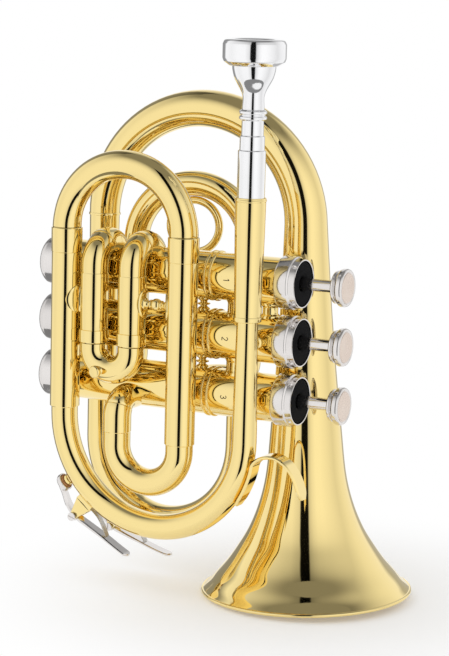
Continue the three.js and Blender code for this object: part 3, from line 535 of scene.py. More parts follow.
# Shared sizes and places: radii end in R, and X, Y and Z name the axis along which a place is given
BORE_R = 5.5
SLIDE_BORE_R = 5.25
FRONT_Y = -46
VALVE_Y = -26.6
VALVE_ZS = (142.7, 117.1, 91.5)
CASING_R = 10.4
CASING_LOW_X = -112
CASING_TOP_X = 1
SEAT = 0.3
EDGE_R = 0.25
SLIP = 0.12
EASE = 0.02
BRACE_R = 2.2
BRACE_COLLAR_R = 2.97
BRACE_INSET = 5.6
BRACE_Z = VALVE_ZS[1]
CASING_FRONT_Y = VALVE_Y - CASING_R
CASING_BACK_Y = VALVE_Y + CASING_R


def stepped(*runs):
    """Sizes of a tube of several diameters, with eased edges: (end length, radius) for each run."""
    sizes = []
    start = 0.0
    for i, (end, radius) in enumerate(runs):
        first = i == 0
        last = i == len(runs) - 1
        sizes.append((start + (0 if first else EASE), radius - (0.2 if first else SLIP)))
        sizes += [(start + EDGE_R, radius), (end - EDGE_R, radius)]
        sizes.append((end, radius - (0.2 if last else SLIP)))
        start = end
    return sizes


def crook(start, heading, straight, bend_r, leg, leg_r, step_r, bow_r, *more):
    """The route of a bow between two legs that end in a small step, and its sizes. More is for the bow."""
    route = Route(start, heading).ahead(straight).turn(RIGHT, HALF_TURN, bend_r).ahead(straight)
    half = [(0, leg_r), (leg, leg_r), (leg + EASE, step_r), (leg + EDGE_R, bow_r), *more]
    return route, half + [(route.length - at, radius) for at, radius in reversed(half)]


def doubled(half, length):
    """A profile that is the same from both ends of this length; half may end on its middle."""
    back = [(radius, length - height) for radius, height in reversed(half)]
    return half + (back[1:] if back[0] == half[-1] else back)


def tube_to_casing(name, route, sizes, bore, valve):
    """A tube that ends in the wall of this valve's casing."""
    shape = Shape().sweep(route, sizes, bore)
    piece(name, shape.end_on_casing(VALVE_ZS[valve - 1], route.heading))


def thinned(sizes, wall):
    """The inside of a tube of this wall."""
    return [(at, radius - wall) for at, radius in sizes]


def post(shape, start, heading, length):
    """A plain round brace with a small collar at each end."""
    half = [(0, 0), (BRACE_COLLAR_R, 0), (BRACE_COLLAR_R, 0.7), (BRACE_R, 1.3)]
    shape.turned(rounded(doubled(half, length), EDGE_R), start, heading, SMALL_SIDES)


def brace_to_casing(shape, x, inset=BRACE_INSET):
    """A brace from a tube in the front plane to the middle casing."""
    post(shape, vec(x, FRONT_Y + inset, BRACE_Z), BACK, CASING_FRONT_Y - FRONT_Y - inset)


# Bell, bell bow and tail

BELL_LEAN = math.radians(1.94)
BELL_TURN = math.radians(2.3)
BELL_TOP = 150
BELL_AXIS = Vector((-math.sin(BELL_LEAN), 0, math.cos(BELL_LEAN)))
BELL_OUTLINE = [
    (46.3, 1.5), (43.5, 4.2), (40.2, 8.2), (35.2, 14), (30.2, 21.2), (25.8, 28.6),
    (21.5, 39), (18.2, 52), (15.8, 75), (13.2, 104), (11.4, 130), (10.3, BELL_TOP),
]
BELL_WALL = 0.6
BELL_SIDES = 144
BEAD_R = 0.85
BEAD_CENTRE = (46.42, 0.86)
BEAD_START = -140
BEAD_END = 120
BEAD_STEPS = 12


def make_bell():
    outside = flowing(BELL_OUTLINE)
    inside = inset(outside, BELL_WALL)[::-1]
    bead = [polar(BEAD_CENTRE, BEAD_R, angle) for angle in spaced(BEAD_START, BEAD_END, BEAD_STEPS)]
    piece("bell", Shape().turned(bead + outside + inside, (0, 0, 0), BELL_AXIS, BELL_SIDES))


BOW_LEAD = 15.2
BOW_R = 49.75
BOW_ACROSS = Vector((-math.cos(BELL_TURN), -math.sin(BELL_TURN), 0))
bow_route = Route(BELL_AXIS * BELL_TOP, BELL_AXIS)
bow_route.ahead(BOW_LEAD).turn(BOW_ACROSS, HALF_TURN - math.degrees(BELL_LEAN), BOW_R)
TAIL = bow_route.at.copy()


def make_bell_bow():
    sizes = [(0, 10.3), (BOW_LEAD, 9.55), (bow_route.length, 6.95)]
    piece("bell_bow", Shape().sweep(bow_route, sizes, thinned(sizes, BELL_WALL), ROUND_SIDES))


TAIL_JOINT_Z = 95
TAIL_SIZES = [(0, 7.1), (0.2, 7.25), (1.0, 7.25), (1.15, 6.85)]
REAR_R = 6.5
REAR_LEG = (-30.4, -9.3)
REAR_BOTTOM_Z = 24.55
rear_across = Vector((REAR_LEG[0] - TAIL.x, REAR_LEG[1] - TAIL.y, 0))
REAR_LEFT_R = rear_across.length * 0.471
REAR_RIGHT_R = rear_across.length - REAR_LEFT_R
REAR_TOP_Z = 128.5
REAR_ELBOW_TURN = 60
REAR_ELBOW_R = 10
REAR_REACH = 12


def make_tail():
    route = Route(TAIL, DOWN).ahead(TAIL.z - TAIL_JOINT_Z)
    shape = Shape().sweep(route, [*TAIL_SIZES, (route.length, REAR_R)], BORE_R)
    start = vec(TAIL.x, TAIL.y - BRACE_INSET, BRACE_Z)
    post(shape, start, FORE, start.y - CASING_BACK_Y)
    piece("bell_tail", shape)


def make_rear_bow():
    route = Route(vec(TAIL.x, TAIL.y, TAIL_JOINT_Z), DOWN)
    route.ahead(TAIL_JOINT_Z - REAR_BOTTOM_Z - REAR_LEFT_R)
    route.turn(rear_across, QUARTER, REAR_LEFT_R)
    route.turn(UP, QUARTER, REAR_RIGHT_R)
    route.ahead(REAR_TOP_Z - REAR_BOTTOM_Z - REAR_RIGHT_R)
    route.turn(FORE, REAR_ELBOW_TURN, REAR_ELBOW_R).ahead(REAR_REACH)
    shape = Shape().sweep(route, stepped((route.length, REAR_R)), BORE_R)
    shape.end_on_casing(VALVE_ZS[0], route.heading)
    nipple(shape, REAR_KEY)
    piece("rear_bow", shape)


# Front plane: leadpipe, receiver, mouthpiece, main slide, front bow, small bow

LEAD_X = -10.43
T1_X = -99.93
T2_X = -41.8
OUTER_R = 6.6
OUTER_BORE_R = 6.3
FERRULE_R = 6.85
SLIDE_TOP_Z = 161
FERRULE_LOW_Z = 150.2
T1_LOW_Z = 81
T2_LOW_Z = 70.3
STAY_Z = 130.5
LEFT_STAY_Z = 129.7


def main_tube(name, x, low_z, first_x, stay_z, flange_width, with_ball):
    """An outer tube of the main slide, with its brace and its stay to a first slide tube."""
    length = SLIDE_TOP_Z - low_z
    route = Route(vec(x, FRONT_Y, low_z), UP).ahead(length)
    sizes = stepped((FERRULE_LOW_Z - low_z, OUTER_R), (length, FERRULE_R))
    shape = Shape().sweep(route, sizes, OUTER_BORE_R)
    brace_to_casing(shape, x)
    stay_between(shape, vec(x, FRONT_Y, stay_z), vec(first_x, FRONT_Y, stay_z), flange_width, with_ball)
    piece(name, shape)


def make_main_tubes():
    main_tube("main_tube_left", T1_X, T1_LOW_Z, FIRST_XS[0], LEFT_STAY_Z, 13, False)
    main_tube("main_tube_right", T2_X, T2_LOW_Z, FIRST_XS[1], STAY_Z, 11, True)


FLANGE_HEIGHT = 13.2
FLANGE_THICK = 0.75
FLANGE_SIDES = 48
# From the flange's middle out: the share of its half width, and the share of its thickness left there.
FLANGE_LEVELS = [(0.3, 1.0), (0.8, 1.0), (0.93, 0.9), (0.985, 0.65), (1.0, 0.3), (1.0, -0.3)]
FREE_FLANGE_WIDTH = 9
STAY_BALL_R = 2.7
STAY_ROOT = [(2.9, 0.2), (2.6, 0.9), (1.9, 1.5), (1.45, 2.3)]
STAY_ROOT_LENGTH = 2.6
# Radii beside the ball, and how far before the stay's middle each lies.
STAY_BEADS = [(1.4, 3.4), (2.0, 2.9), (2.0, 2.4), (1.5, 2)]
FIRST_XS = (-85.49, -66.71)
FIRST_OUTER_R = 6.2


def wrapped_flange(shape, centre, tube_r, toward, width):
    """A thin oval flange that wraps the tube's side, with its eased edge lying on it."""
    side = UP.cross(toward)
    tip = len(shape.points)
    first = tip + 1
    shape.points.append(centre + toward * (tube_r + FLANGE_THICK))
    for share, rise in FLANGE_LEVELS:
        for angle in circle(FLANGE_SIDES):
            bend = math.asin(width / 2 * share * math.cos(angle) / (tube_r + FLANGE_THICK))
            reach = tube_r + FLANGE_THICK * rise
            up = UP * (FLANGE_HEIGHT / 2 * share * math.sin(angle))
            shape.points.append(centre + toward * reach * math.cos(bend) + side * reach * math.sin(bend) + up)
    shape.fan(tip, first, FLANGE_SIDES)
    for k in range(len(FLANGE_LEVELS) - 1):
        start = first + k * FLANGE_SIDES
        shape.bridge(start, start + FLANGE_SIDES, FLANGE_SIDES, flip=True)


def stay_between(shape, fixed, free, fixed_width, with_ball):
    """A stay from a main tube to a first slide tube: a flange on each and a waisted rod, one with a ball."""
    toward = (free - fixed).normalized()
    wrapped_flange(shape, fixed, OUTER_R, toward, fixed_width)
    wrapped_flange(shape, free, FIRST_OUTER_R + SLIP, -toward, FREE_FLANGE_WIDTH)
    length = (free - fixed).length - OUTER_R - FIRST_OUTER_R
    half = length / 2
    squeeze = min(1, half / STAY_ROOT_LENGTH)
    side = [(0, 0.1), *((r, h * squeeze) for r, h in STAY_ROOT)]
    if with_ball:
        side += [(r, half - h) for r, h in STAY_BEADS]
    start = fixed + toward * OUTER_R
    shape.turned(rounded(doubled(side, length), EDGE_R), start, toward, SMALL_SIDES)
    if with_ball:
        shape.ball(start + toward * half, STAY_BALL_R)


MAIN_CENTRE_Z = 161.25
MAIN_LEG_LOW_Z = 112
MAIN_BEND_R = (T2_X - T1_X) / 2


def make_main_crook():
    leg = SLIDE_TOP_Z + SLIP - MAIN_LEG_LOW_Z
    route, sizes = crook(vec(T1_X, FRONT_Y, MAIN_LEG_LOW_Z), UP, MAIN_CENTRE_Z - MAIN_LEG_LOW_Z, MAIN_BEND_R,
                         leg, 6.1, 6.15, 6.4, (leg + 6, 6.25))
    piece("main_slide_crook", Shape().sweep(route, sizes, BORE_R))


FRONT_BOTTOM_Z = 32
FRONT_LEFT_R = 46.5
FRONT_RIGHT_R = LEAD_X - T1_X - FRONT_LEFT_R
FRONT_LEG_TOP_Z = 92
FRONT_JOINT_Z = 79.5
FRONT_LEFT_TUBE_R = 5.95
FRONT_RIGHT_TUBE_R = 5.4
FRONT_WALL = 0.45


def make_front_bow():
    route = Route(vec(T1_X, FRONT_Y, FRONT_LEG_TOP_Z), DOWN)
    route.ahead(FRONT_LEG_TOP_Z - FRONT_BOTTOM_Z - FRONT_LEFT_R)
    route.turn(RIGHT, QUARTER, FRONT_LEFT_R).turn(UP, QUARTER, FRONT_RIGHT_R)
    route.ahead(FRONT_JOINT_Z - FRONT_BOTTOM_Z - FRONT_RIGHT_R)
    sizes = [(0, FRONT_LEFT_TUBE_R), (route.length, FRONT_RIGHT_TUBE_R)]
    shape = Shape().sweep(route, sizes, thinned(sizes, FRONT_WALL))
    nipple(shape, FRONT_KEY)
    piece("front_bow", shape)


RECEIVER_LOW_Z = 127.4
LEAD_TOP_Z = 150
LEAD_TOP_R = 4.6
LEAD_WALL = 0.4
LEAD_BRACE_INSET = 4.3


def make_leadpipe():
    taper = RECEIVER_LOW_Z - FRONT_JOINT_Z
    route = Route(vec(LEAD_X, FRONT_Y, FRONT_JOINT_Z), UP).ahead(taper).ahead(LEAD_TOP_Z - RECEIVER_LOW_Z)
    sizes = [(0, FRONT_RIGHT_TUBE_R), (taper, LEAD_TOP_R), (route.length, LEAD_TOP_R)]
    shape = Shape().sweep(route, sizes, thinned(sizes, LEAD_WALL))
    brace_to_casing(shape, LEAD_X, LEAD_BRACE_INSET)
    piece("leadpipe", shape)


def make_receiver():
    profile = [
        (4.85, RECEIVER_LOW_Z), (5.9, RECEIVER_LOW_Z), (6.15, 127.9), (6.15, 129.3), (5.8, 129.8), (6.5, 170),
        (6.6, 178.6), (6.85, 178.9), (6.85, 179.4), (6.6, 179.7), (6.6, 180.3), (6.2, 180.3), (5.3, 153),
        (4.85, 152),
    ]
    piece("receiver", Shape().turned(rounded(profile, EDGE_R), vec(LEAD_X, FRONT_Y, 0), UP))


def make_mouthpiece():
    shank = [
        (3.9, 157.5), (4.7, 157.5), (5.93, 180), (5.95, 200.1), (5.35, 200.3), (5.3, 206.1), (4.75, 206.5),
        (4.7, 212.8), (5.9, 213.3), (5.9, 214.2), (5.1, 214.9), (5.9, 215.7), (5.9, 216.6), (4.75, 217.3),
    ]
    funnel = flowing([(4.75, 218.2), (4.75, 223.3), (8.3, 230.5), (9.2, 234), (9.3, 235.4)], 8)
    cup = [(10.6, 235.5), (13, 237.2), (13.5, 238.6), (13.5, 244.6)]
    rim = flowing([(13.5, 244.6), (12.6, 246.2), (11, 246.7), (8.9, 245.6), (8.4, 243.5), (7.9, 240.5),
                   (5.8, 235.4), (2.2, 231), (1.9, 226)])
    profile = rounded(shank + funnel + cup, 0.3, closed=False) + rim[1:]
    piece("mouthpiece", Shape().turned(profile, vec(LEAD_X, FRONT_Y, 0), UP, FINE_SIDES))


SLEEVE_X = -72.97
SLEEVE_LOW_Z = 72.5
SLEEVE_LENGTH = 10.9
SMALL_CENTRE_Z = 66.96
SMALL_LEG_TOP_Z = 84
SMALL_R = (T2_X - SLEEVE_X) / 2
SMALL_TUBE_R = 6.03
INLET_RISE = 6.7
INLET_BEND_R = 7.5
INLET_REACH = 8


def make_small_bow():
    route = Route(vec(SLEEVE_X, FRONT_Y, SLEEVE_LOW_Z), DOWN).ahead(SLEEVE_LOW_Z - SMALL_CENTRE_Z)
    route.turn(RIGHT, HALF_TURN, SMALL_R).ahead(SMALL_LEG_TOP_Z - SMALL_CENTRE_Z)
    piece("small_bow", Shape().sweep(route, SMALL_TUBE_R, BORE_R))


def make_inlet():
    route = Route(vec(SLEEVE_X, FRONT_Y, SLEEVE_LOW_Z), UP).ahead(INLET_RISE)
    route.turn(BACK, QUARTER, INLET_BEND_R).ahead(INLET_REACH)
    tube_to_casing("inlet_elbow", route, stepped((SLEEVE_LENGTH, 6.25), (route.length, 6)), BORE_R, 3)


# Valve slides

FIRST_TOP_Z = 142
FIRST_LOW_Z = 111.25
FIRST_FERRULE_Z = 116.8
FIRST_CENTRE_Z = 108.8
FIRST_LEG_TOP_Z = 136
FIRST_BORE_R = 6.05
FIRST_ELBOW_R = 5.95
# The way from an outer tube into casing 1: up, over to the back, on, down and in.
FIRST_RISE = 3.1
FIRST_OVER_R = 9.5
FIRST_RUN = 3
FIRST_DIP_TURN = 80
FIRST_DIP_R = 7
FIRST_REACH = 6
KNOB_REACH = 5.8
FIRST_KNOB_FOOT = vec(-78.2, FRONT_Y, 99.9)
FIRST_KNOB_AIM = vec(-0.2, -1, -0.05).normalized()


def make_first_slide():
    straight = FIRST_TOP_Z - FIRST_LOW_Z
    bore = [(0, FIRST_BORE_R), (straight, FIRST_BORE_R), (straight + 1, BORE_R)]
    for n, x in enumerate(FIRST_XS, 1):
        route = Route(vec(x, FRONT_Y, FIRST_LOW_Z), UP).ahead(straight + FIRST_RISE)
        route.turn(BACK, QUARTER, FIRST_OVER_R).ahead(FIRST_RUN)
        route.turn(DOWN, FIRST_DIP_TURN, FIRST_DIP_R).ahead(FIRST_REACH)
        sizes = stepped((FIRST_FERRULE_Z - FIRST_LOW_Z, 6.55), (straight, FIRST_OUTER_R),
                        (straight + 15, FIRST_ELBOW_R), (straight + 21.5, 6.3),
                        (route.length, FIRST_ELBOW_R))
        tube_to_casing(f"first_slide_tube_{n}", route, sizes, [*bore, (route.length, BORE_R)], 1)
    bend_r = (FIRST_XS[1] - FIRST_XS[0]) / 2
    route, sizes = crook(vec(FIRST_XS[0], FRONT_Y, FIRST_LEG_TOP_Z), DOWN, FIRST_LEG_TOP_Z - FIRST_CENTRE_Z,
                         bend_r, FIRST_LEG_TOP_Z - FIRST_LOW_Z + SLIP, 5.75, 5.8, 6.0)
    crook_with_knob("first_slide_crook", route, sizes, FIRST_KNOB_FOOT, FIRST_KNOB_AIM)


def crook_with_knob(name, route, sizes, foot, aim):
    """The crook of a small slide, with a pull knob on the bow that runs through the foot."""
    profile = [(0, -0.6), (2.2, -0.6), (1.5, 0.5), (1.4, 1.6), (2.6, 2.0), (2.85, 2.4), (2.85, 3.3),
               (2.4, 3.9), (1.2, 4.15), (0, 4.2)]
    shape = Shape().sweep(route, sizes, SLIDE_BORE_R)
    piece(name, shape.turned(rounded(profile, EDGE_R), foot + aim * KNOB_REACH, aim, SMALL_SIDES))


SECOND_XS = (-76.2, -63)
SECOND_Z = 114
SECOND_MOUTH_Y = -2
SECOND_LEG_Y = -13
SECOND_STRAIGHT = 15
SECOND_TUBE_R = 5.9
SECOND_TUBE_LENGTH = 18


def make_second_slide():
    for n, x in enumerate(SECOND_XS, 1):
        route = Route(vec(x, SECOND_MOUTH_Y, SECOND_Z), FORE).ahead(SECOND_TUBE_LENGTH)
        sizes = stepped((3.2, 6.0), (route.length, SECOND_TUBE_R))
        tube_to_casing(f"second_slide_tube_{n}", route, sizes, 5.75, 2)
    bend_r = (SECOND_XS[1] - SECOND_XS[0]) / 2
    start = vec(SECOND_XS[0], SECOND_LEG_Y, SECOND_Z)
    route, sizes = crook(start, BACK, SECOND_STRAIGHT, bend_r,
                         SECOND_MOUTH_Y - SECOND_LEG_Y + SLIP, 5.5, 5.6, SECOND_TUBE_R)
    foot = start + RIGHT * bend_r + BACK * (SECOND_STRAIGHT + bend_r)
    crook_with_knob("second_slide_crook", route, sizes, foot, BACK)


ARCH_LEFT = vec(-88.57, -3.2, 0)
ARCH_RIGHT = vec(-34.22, 3.5, 0)
ARCH_TOP_Z = 179.2
ARCH_LEG_LOW_Z = 118
THIRD_TOP_Z = 146
THIRD_REACH = 10
arch_across = ARCH_RIGHT - ARCH_LEFT
ARCH_LEFT_R = arch_across.length * 0.512
ARCH_RIGHT_R = arch_across.length - ARCH_LEFT_R
ARCH_TUBE_R = 5.65
THIRD_BEND_R = 9
FINGER_RING_R = 11.7
FINGER_WIRE_R = 1.8


def make_third_slide():
    arch = Route(ARCH_LEFT + UP * ARCH_LEG_LOW_Z, UP).ahead(ARCH_TOP_Z - ARCH_LEFT_R - ARCH_LEG_LOW_Z)
    arch.turn(arch_across, QUARTER, ARCH_LEFT_R).turn(DOWN, QUARTER, ARCH_RIGHT_R)
    arch.ahead(ARCH_TOP_Z - ARCH_RIGHT_R - ARCH_LEG_LOW_Z)
    piece("third_slide_arch", Shape().sweep(arch, ARCH_TUBE_R, SLIDE_BORE_R))
    drop = THIRD_TOP_Z - VALVE_ZS[2] - THIRD_BEND_R
    left = Route(ARCH_LEFT + UP * THIRD_TOP_Z, DOWN).ahead(drop)
    left.turn(FORE, QUARTER, THIRD_BEND_R).ahead(THIRD_REACH)
    right = Route(ARCH_RIGHT + UP * THIRD_TOP_Z, DOWN).ahead(drop).turn(LEFT, QUARTER, THIRD_BEND_R)
    right.turn(FORE, QUARTER, THIRD_BEND_R).ahead(THIRD_REACH + arch_across.y)
    for n, leg in enumerate((left, right), 1):
        tube_to_casing(f"third_slide_tube_{n}", leg, stepped((6, 6.15), (leg.length, 6.1)), 5.9, 3)


def make_finger_ring():
    along = arch_across.normalized()
    out = along.cross(UP)
    centre = ARCH_LEFT + along * ARCH_LEFT_R
    centre.z = ARCH_TOP_Z - ARCH_TUBE_R - SLIP - FINGER_WIRE_R - FINGER_RING_R
    shape = Shape()
    starts = []
    for angle in circle(FINE_SIDES):
        radial = along * math.cos(angle) + UP * math.sin(angle)
        starts.append(shape.ring(centre + radial * FINGER_RING_R, radial, out, FINGER_WIRE_R, SMALL_SIDES))
    for a, b in zip(starts, starts[1:] + starts[:1]):
        shape.bridge(a, b, SMALL_SIDES)
    piece("third_slide_ring", shape)


# Casings, caps, valves

CASING_BORE_R = 8.75
BAND_XS = (-36.4, -33.9)
BAND_R = 0.7
BAND_STEPS = 8
KNUCKLE_X = -22.8
POST_X = -41.4
BLOCK_X = -9
# How many of the three links each upper casing has to the one below it.
LINKS = (3, 2)
# Half of each link: (radius, height above the lower casing) pairs; the post's heights are shares of the gap.
KNUCKLE_HALF = [(BORE_R, -1.6), (7.0, -1.6), (6.7, -0.4), (6.2, 0.5)]
POST_HALF = [(0, -0.1), (2.75, -0.1), (2.75, 0.06), (2.375, 0.14), (1.55, 0.26), (1.55, 0.36), (2.625, 0.42),
             (3.0, 0.5)]
BLOCK_HALF = [(0, -0.9), (4.4, -0.9), (4.1, 0.2), (3.4, 0.9)]


def casing_shape(z):
    profile = [(CASING_BORE_R, CASING_LOW_X), (CASING_R, CASING_LOW_X)]
    for x in BAND_XS:
        for angle in spaced(0, math.pi, BAND_STEPS):
            profile.append((CASING_R + BAND_R * math.sin(angle), x - BAND_R * math.cos(angle)))
    profile += [(CASING_R, CASING_TOP_X), (CASING_BORE_R, CASING_TOP_X)]
    return Shape().turned(profile, vec(0, VALVE_Y, z), RIGHT, FINE_SIDES)


def make_casings():
    for i, z in enumerate(VALVE_ZS):
        shape = casing_shape(z)
        if i < len(LINKS):
            lower = VALVE_ZS[i + 1]
            gap = z - lower - 2 * CASING_R
            post_half = [(r, share * gap) for r, share in POST_HALF]
            links = Shape()
            for x, half, sides in ((KNUCKLE_X, KNUCKLE_HALF, TUBE_SIDES), (POST_X, post_half, SMALL_SIDES),
                                   (BLOCK_X, BLOCK_HALF, SMALL_SIDES))[:LINKS[i]]:
                profile = rounded(doubled(half, gap), EDGE_R)
                links.turned(profile, vec(x, VALVE_Y, lower + CASING_R), UP, sides)
            shape.join(links.end_on_casing(lower, DOWN).end_on_casing(z, UP))
        piece(f"casing_{i + 1}", shape)


def on_valves(name, profile, sides=ROUND_SIDES, dent=None):
    """The same turned piece on each valve."""
    for n, z in enumerate(VALVE_ZS, 1):
        piece(f"{name}_{n}", Shape().turned(profile, vec(0, VALVE_Y, z), RIGHT, sides, dent))


CAP_REAR_X = -3
CAP_INNER_R = CASING_R + 0.2
CAP_SIDES = 192
STEM_HOLE_R = 3.2
COLLAR_LOW = (10.9, 3.8)
COLLAR_HIGH = (10.5, 6.6)
NOTCH_LOW_X = 4.4
NOTCH_HIGH_X = 5.6
NOTCH_DEPTH = 0.5
NOTCH_HALF_TURN = math.radians(7)


def grip_notch(angle, x):
    """How deep a grip notch lies at an angle round the cap: four notches, midway between the quarters."""
    from_middle = abs((angle % (math.pi / 2)) - math.pi / 4)
    inside = NOTCH_LOW_X - TINY < x < NOTCH_HIGH_X + TINY
    return NOTCH_DEPTH if inside and from_middle < NOTCH_HALF_TURN else 0


def on_collar(x):
    """The point of a cap's sloping collar at this x."""
    share = (x - COLLAR_LOW[1]) / (COLLAR_HIGH[1] - COLLAR_LOW[1])
    return (COLLAR_LOW[0] + (COLLAR_HIGH[0] - COLLAR_LOW[0]) * share, x)


def make_caps():
    collar_xs = (4.1, NOTCH_LOW_X - EASE, NOTCH_LOW_X, NOTCH_HIGH_X, NOTCH_HIGH_X + EASE, 6.2)
    collar = [on_collar(x) for x in collar_xs]
    skirt = [(CAP_INNER_R, 2.2), (CAP_INNER_R, CAP_REAR_X), (11.4, CAP_REAR_X), (11.6, CAP_REAR_X + 0.6),
             (11.6, 3.2), COLLAR_LOW, collar[0]]
    face = [collar[-1], COLLAR_HIGH, (9.9, 6.6), (9.9, 3.8), (STEM_HOLE_R, 3.8), (STEM_HOLE_R, 2.2)]
    top = rounded(skirt, 0.3, closed=False) + collar[1:-1] + rounded(face, 0.25, closed=False)
    bottom = [(CAP_INNER_R, -107.9), (11.1, -107.9), (11.1, -109.6), (10.8, -110.1), (10.8, -117.4),
              (10.3, -118.9), (9.3, -119.9), (5.8, -120.9), (1.2, -121.2), (1.2, -118.6),
              (CAP_INNER_R, -118.6)]
    felt = [(STEM_HOLE_R, 3.9), (9.7, 3.9), (9.7, 5.9), (9.2, 6.3), (4.4, 6.3), (STEM_HOLE_R, 5.7)]
    on_valves("top_cap", top, CAP_SIDES, grip_notch)
    on_valves("bottom_cap", rounded(bottom, 0.4), FINE_SIDES)
    on_valves("cap_felt", rounded(felt, 0.3))


DIGIT_X = -25.5
DIGIT_HEIGHT = 2.8
DIGIT_WIDTH = 1.6
STROKE_WIDTH = 0.34
STROKE_RISE = 0.02
STROKE_SINK = 0.15
# Each digit's strokes, as shares of its width and height.
DIGIT_SHARES = {
    1: [[(0.15, 0.75), (0.3, 0.86), (0.55, 1.0)], [(0.55, 1.0), (0.55, 0.0)]],
    2: [[(0.05, 0.78), (0.25, 0.97), (0.6, 1.0), (0.88, 0.8), (0.72, 0.5), (0.35, 0.22), (0.05, 0.0)],
        [(0.05, 0.0), (0.95, 0.0)]],
    3: [[(0.08, 0.86), (0.4, 1.0), (0.82, 0.86), (0.78, 0.62), (0.4, 0.53)],
        [(0.4, 0.53), (0.86, 0.42), (0.9, 0.14), (0.45, 0.0), (0.05, 0.14)]],
}


def stroke(shape, line, z):
    """A thin engraved line that lies on a casing's front, from points across and up the digit."""
    line = [Vector(p) for p in line]
    high = CASING_R + STROKE_RISE
    low = CASING_R - STROKE_SINK
    rings = []
    for i, p in enumerate(line):
        run = (line[min(i + 1, len(line) - 1)] - line[max(i - 1, 0)]).normalized()
        square = Vector((-run.y, run.x)) * STROKE_WIDTH / 2
        rings.append(len(shape.points))
        for off, radius in ((square, high), (-square, high), (-square, low), (square, low)):
            across, rise = p + off
            turn = -(across - DIGIT_WIDTH / 2) / CASING_R
            shape.points.append(vec(DIGIT_X + rise - DIGIT_HEIGHT / 2, VALVE_Y - radius * math.cos(turn),
                                    z + radius * math.sin(turn)))
    shape.bar(rings, 4)


def make_digits():
    for n, z in enumerate(VALVE_ZS, 1):
        shape = Shape()
        for shares in DIGIT_SHARES[n]:
            points = [(across * DIGIT_WIDTH, rise * DIGIT_HEIGHT) for across, rise in shares]
            stroke(shape, flowing(points, 5), z)
        digit = form(f"casing_{n}_digit", shape, ENGRAVED)
        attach(digit, BODY_OF[f"casing_{n}"])


def make_buttons():
    body = [(0, 0.75), (2.7, 0.75), (2.7, 21.3), (3.1, 21.6), (6.7, 21.6), (7.1, 22), (7.1, 22.9),
            (6.5, 23.3), (6.5, 23.7), (7.6, 24), (8.25, 24.8), (8.25, 26.4), (7.8, 27.2), (7.1, 27.4),
            (6.7, 27), (0, 27)]
    on_valves("button", rounded(body, 0.3))
    on_valves("button_pearl", [(0, 27.02), (6.55, 27.02), (6.3, 27.3), (4, 27.38), (0, 27.4)])


SPRING_R = 6.4
SPRING_WIRE_R = 0.5
SPRING_LOW_X = -118
SPRING_HIGH_X = -81.9
SPRING_TURNS = 4
SPRING_STEPS = 32
SPRING_SIDES = 10


def make_valve_springs():
    """The coils under the pistons."""
    count = SPRING_TURNS * SPRING_STEPS
    length = SPRING_HIGH_X - SPRING_LOW_X
    rise = (length - 2 * SPRING_WIRE_R) / count
    lead = rise * SPRING_STEPS / (2 * math.pi * SPRING_R)
    for n, z in enumerate(VALVE_ZS, 1):
        shape = Shape()
        rings = []
        for k in range(count + 1):
            angle = 2 * math.pi * k / SPRING_STEPS
            out = vec(0, math.cos(angle), math.sin(angle))
            run = vec(lead, -out.z, out.y).normalized()
            at = vec(SPRING_LOW_X + SPRING_WIRE_R + rise * k, VALVE_Y, z) + out * SPRING_R
            rings.append(shape.ring(at, out, run.cross(out), SPRING_WIRE_R, SPRING_SIDES))
        shape.bar(rings, SPRING_SIDES)
        coil = piece(f"valve_spring_{n}", shape)
        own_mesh(coil)


BELL_BRACE_X = -6.5
BELL_BRACE_LENGTH = 6.2
BELL_BRACE_INTO = 0.6


def make_bell_brace():
    shape = Shape()
    post(shape, vec(BELL_BRACE_X, CASING_BACK_Y - BELL_BRACE_INTO, BRACE_Z), BACK, BELL_BRACE_LENGTH)
    piece("bell_brace", shape)


# Finger hook and water keys

HOOK_WIDTH = 8
HOOK_THICK = 1.5
HOOK_FOOT_ANGLES = (-34, -27, -20, -15)
HOOK_LINE = [(-4.6, 66.6), (-1.8, 69), (2, 70.3), (6, 70.2), (10.2, 68.2), (13.6, 64.6), (16.2, 59.6),
             (18.2, 53.4)]
HOOK_TIP_START = 0.94
STRIP_CORNER = 0.6
STRIP_SIDES = 8


def ribbon(shape, line, thickness, width, y):
    """A flat strip with eased edges along a line of (x, z) points; its sizes follow the share walked."""
    rings = []
    for i, (x, z) in enumerate(line):
        share = i / (len(line) - 1)
        before = line[max(i - 1, 0)]
        after = line[min(i + 1, len(line) - 1)]
        run = Vector((after[0] - before[0], 0, after[1] - before[1])).normalized()
        square = Vector((-run.z, 0, run.x))
        wide = width(share) / 2
        thick = thickness(share) / 2
        corner = thick * STRIP_CORNER
        in_wide = wide - corner
        in_thick = thick - corner
        half = [(-wide, -in_thick), (-in_wide, -thick), (in_wide, -thick), (wide, -in_thick)]
        rings.append(len(shape.points))
        for across, rise in half + [(-across, -rise) for across, rise in half]:
            shape.points.append(vec(x, y, z) + BACK * across + square * rise)
    shape.bar(rings, STRIP_SIDES)


def hook_width(share):
    """Eased at the foot and round at the tip."""
    if share > HOOK_TIP_START:
        past = (share - HOOK_TIP_START) / (1 - HOOK_TIP_START)
        return HOOK_WIDTH * math.sqrt(max(0.2, 1 - past ** 2))
    return HOOK_WIDTH * (0.75 + 0.25 * min(1, share / 0.05))


def make_hook():
    centre = (LEAD_X - FRONT_RIGHT_R, FRONT_BOTTOM_Z + FRONT_RIGHT_R)
    foot_r = FRONT_RIGHT_R + FRONT_RIGHT_TUBE_R + 0.25 + HOOK_THICK / 2
    foot = [polar(centre, foot_r, angle) for angle in HOOK_FOOT_ANGLES]
    shape = Shape()
    ribbon(shape, flowing(foot + HOOK_LINE), lambda share: HOOK_THICK, hook_width, FRONT_Y)
    piece("finger_hook", shape)


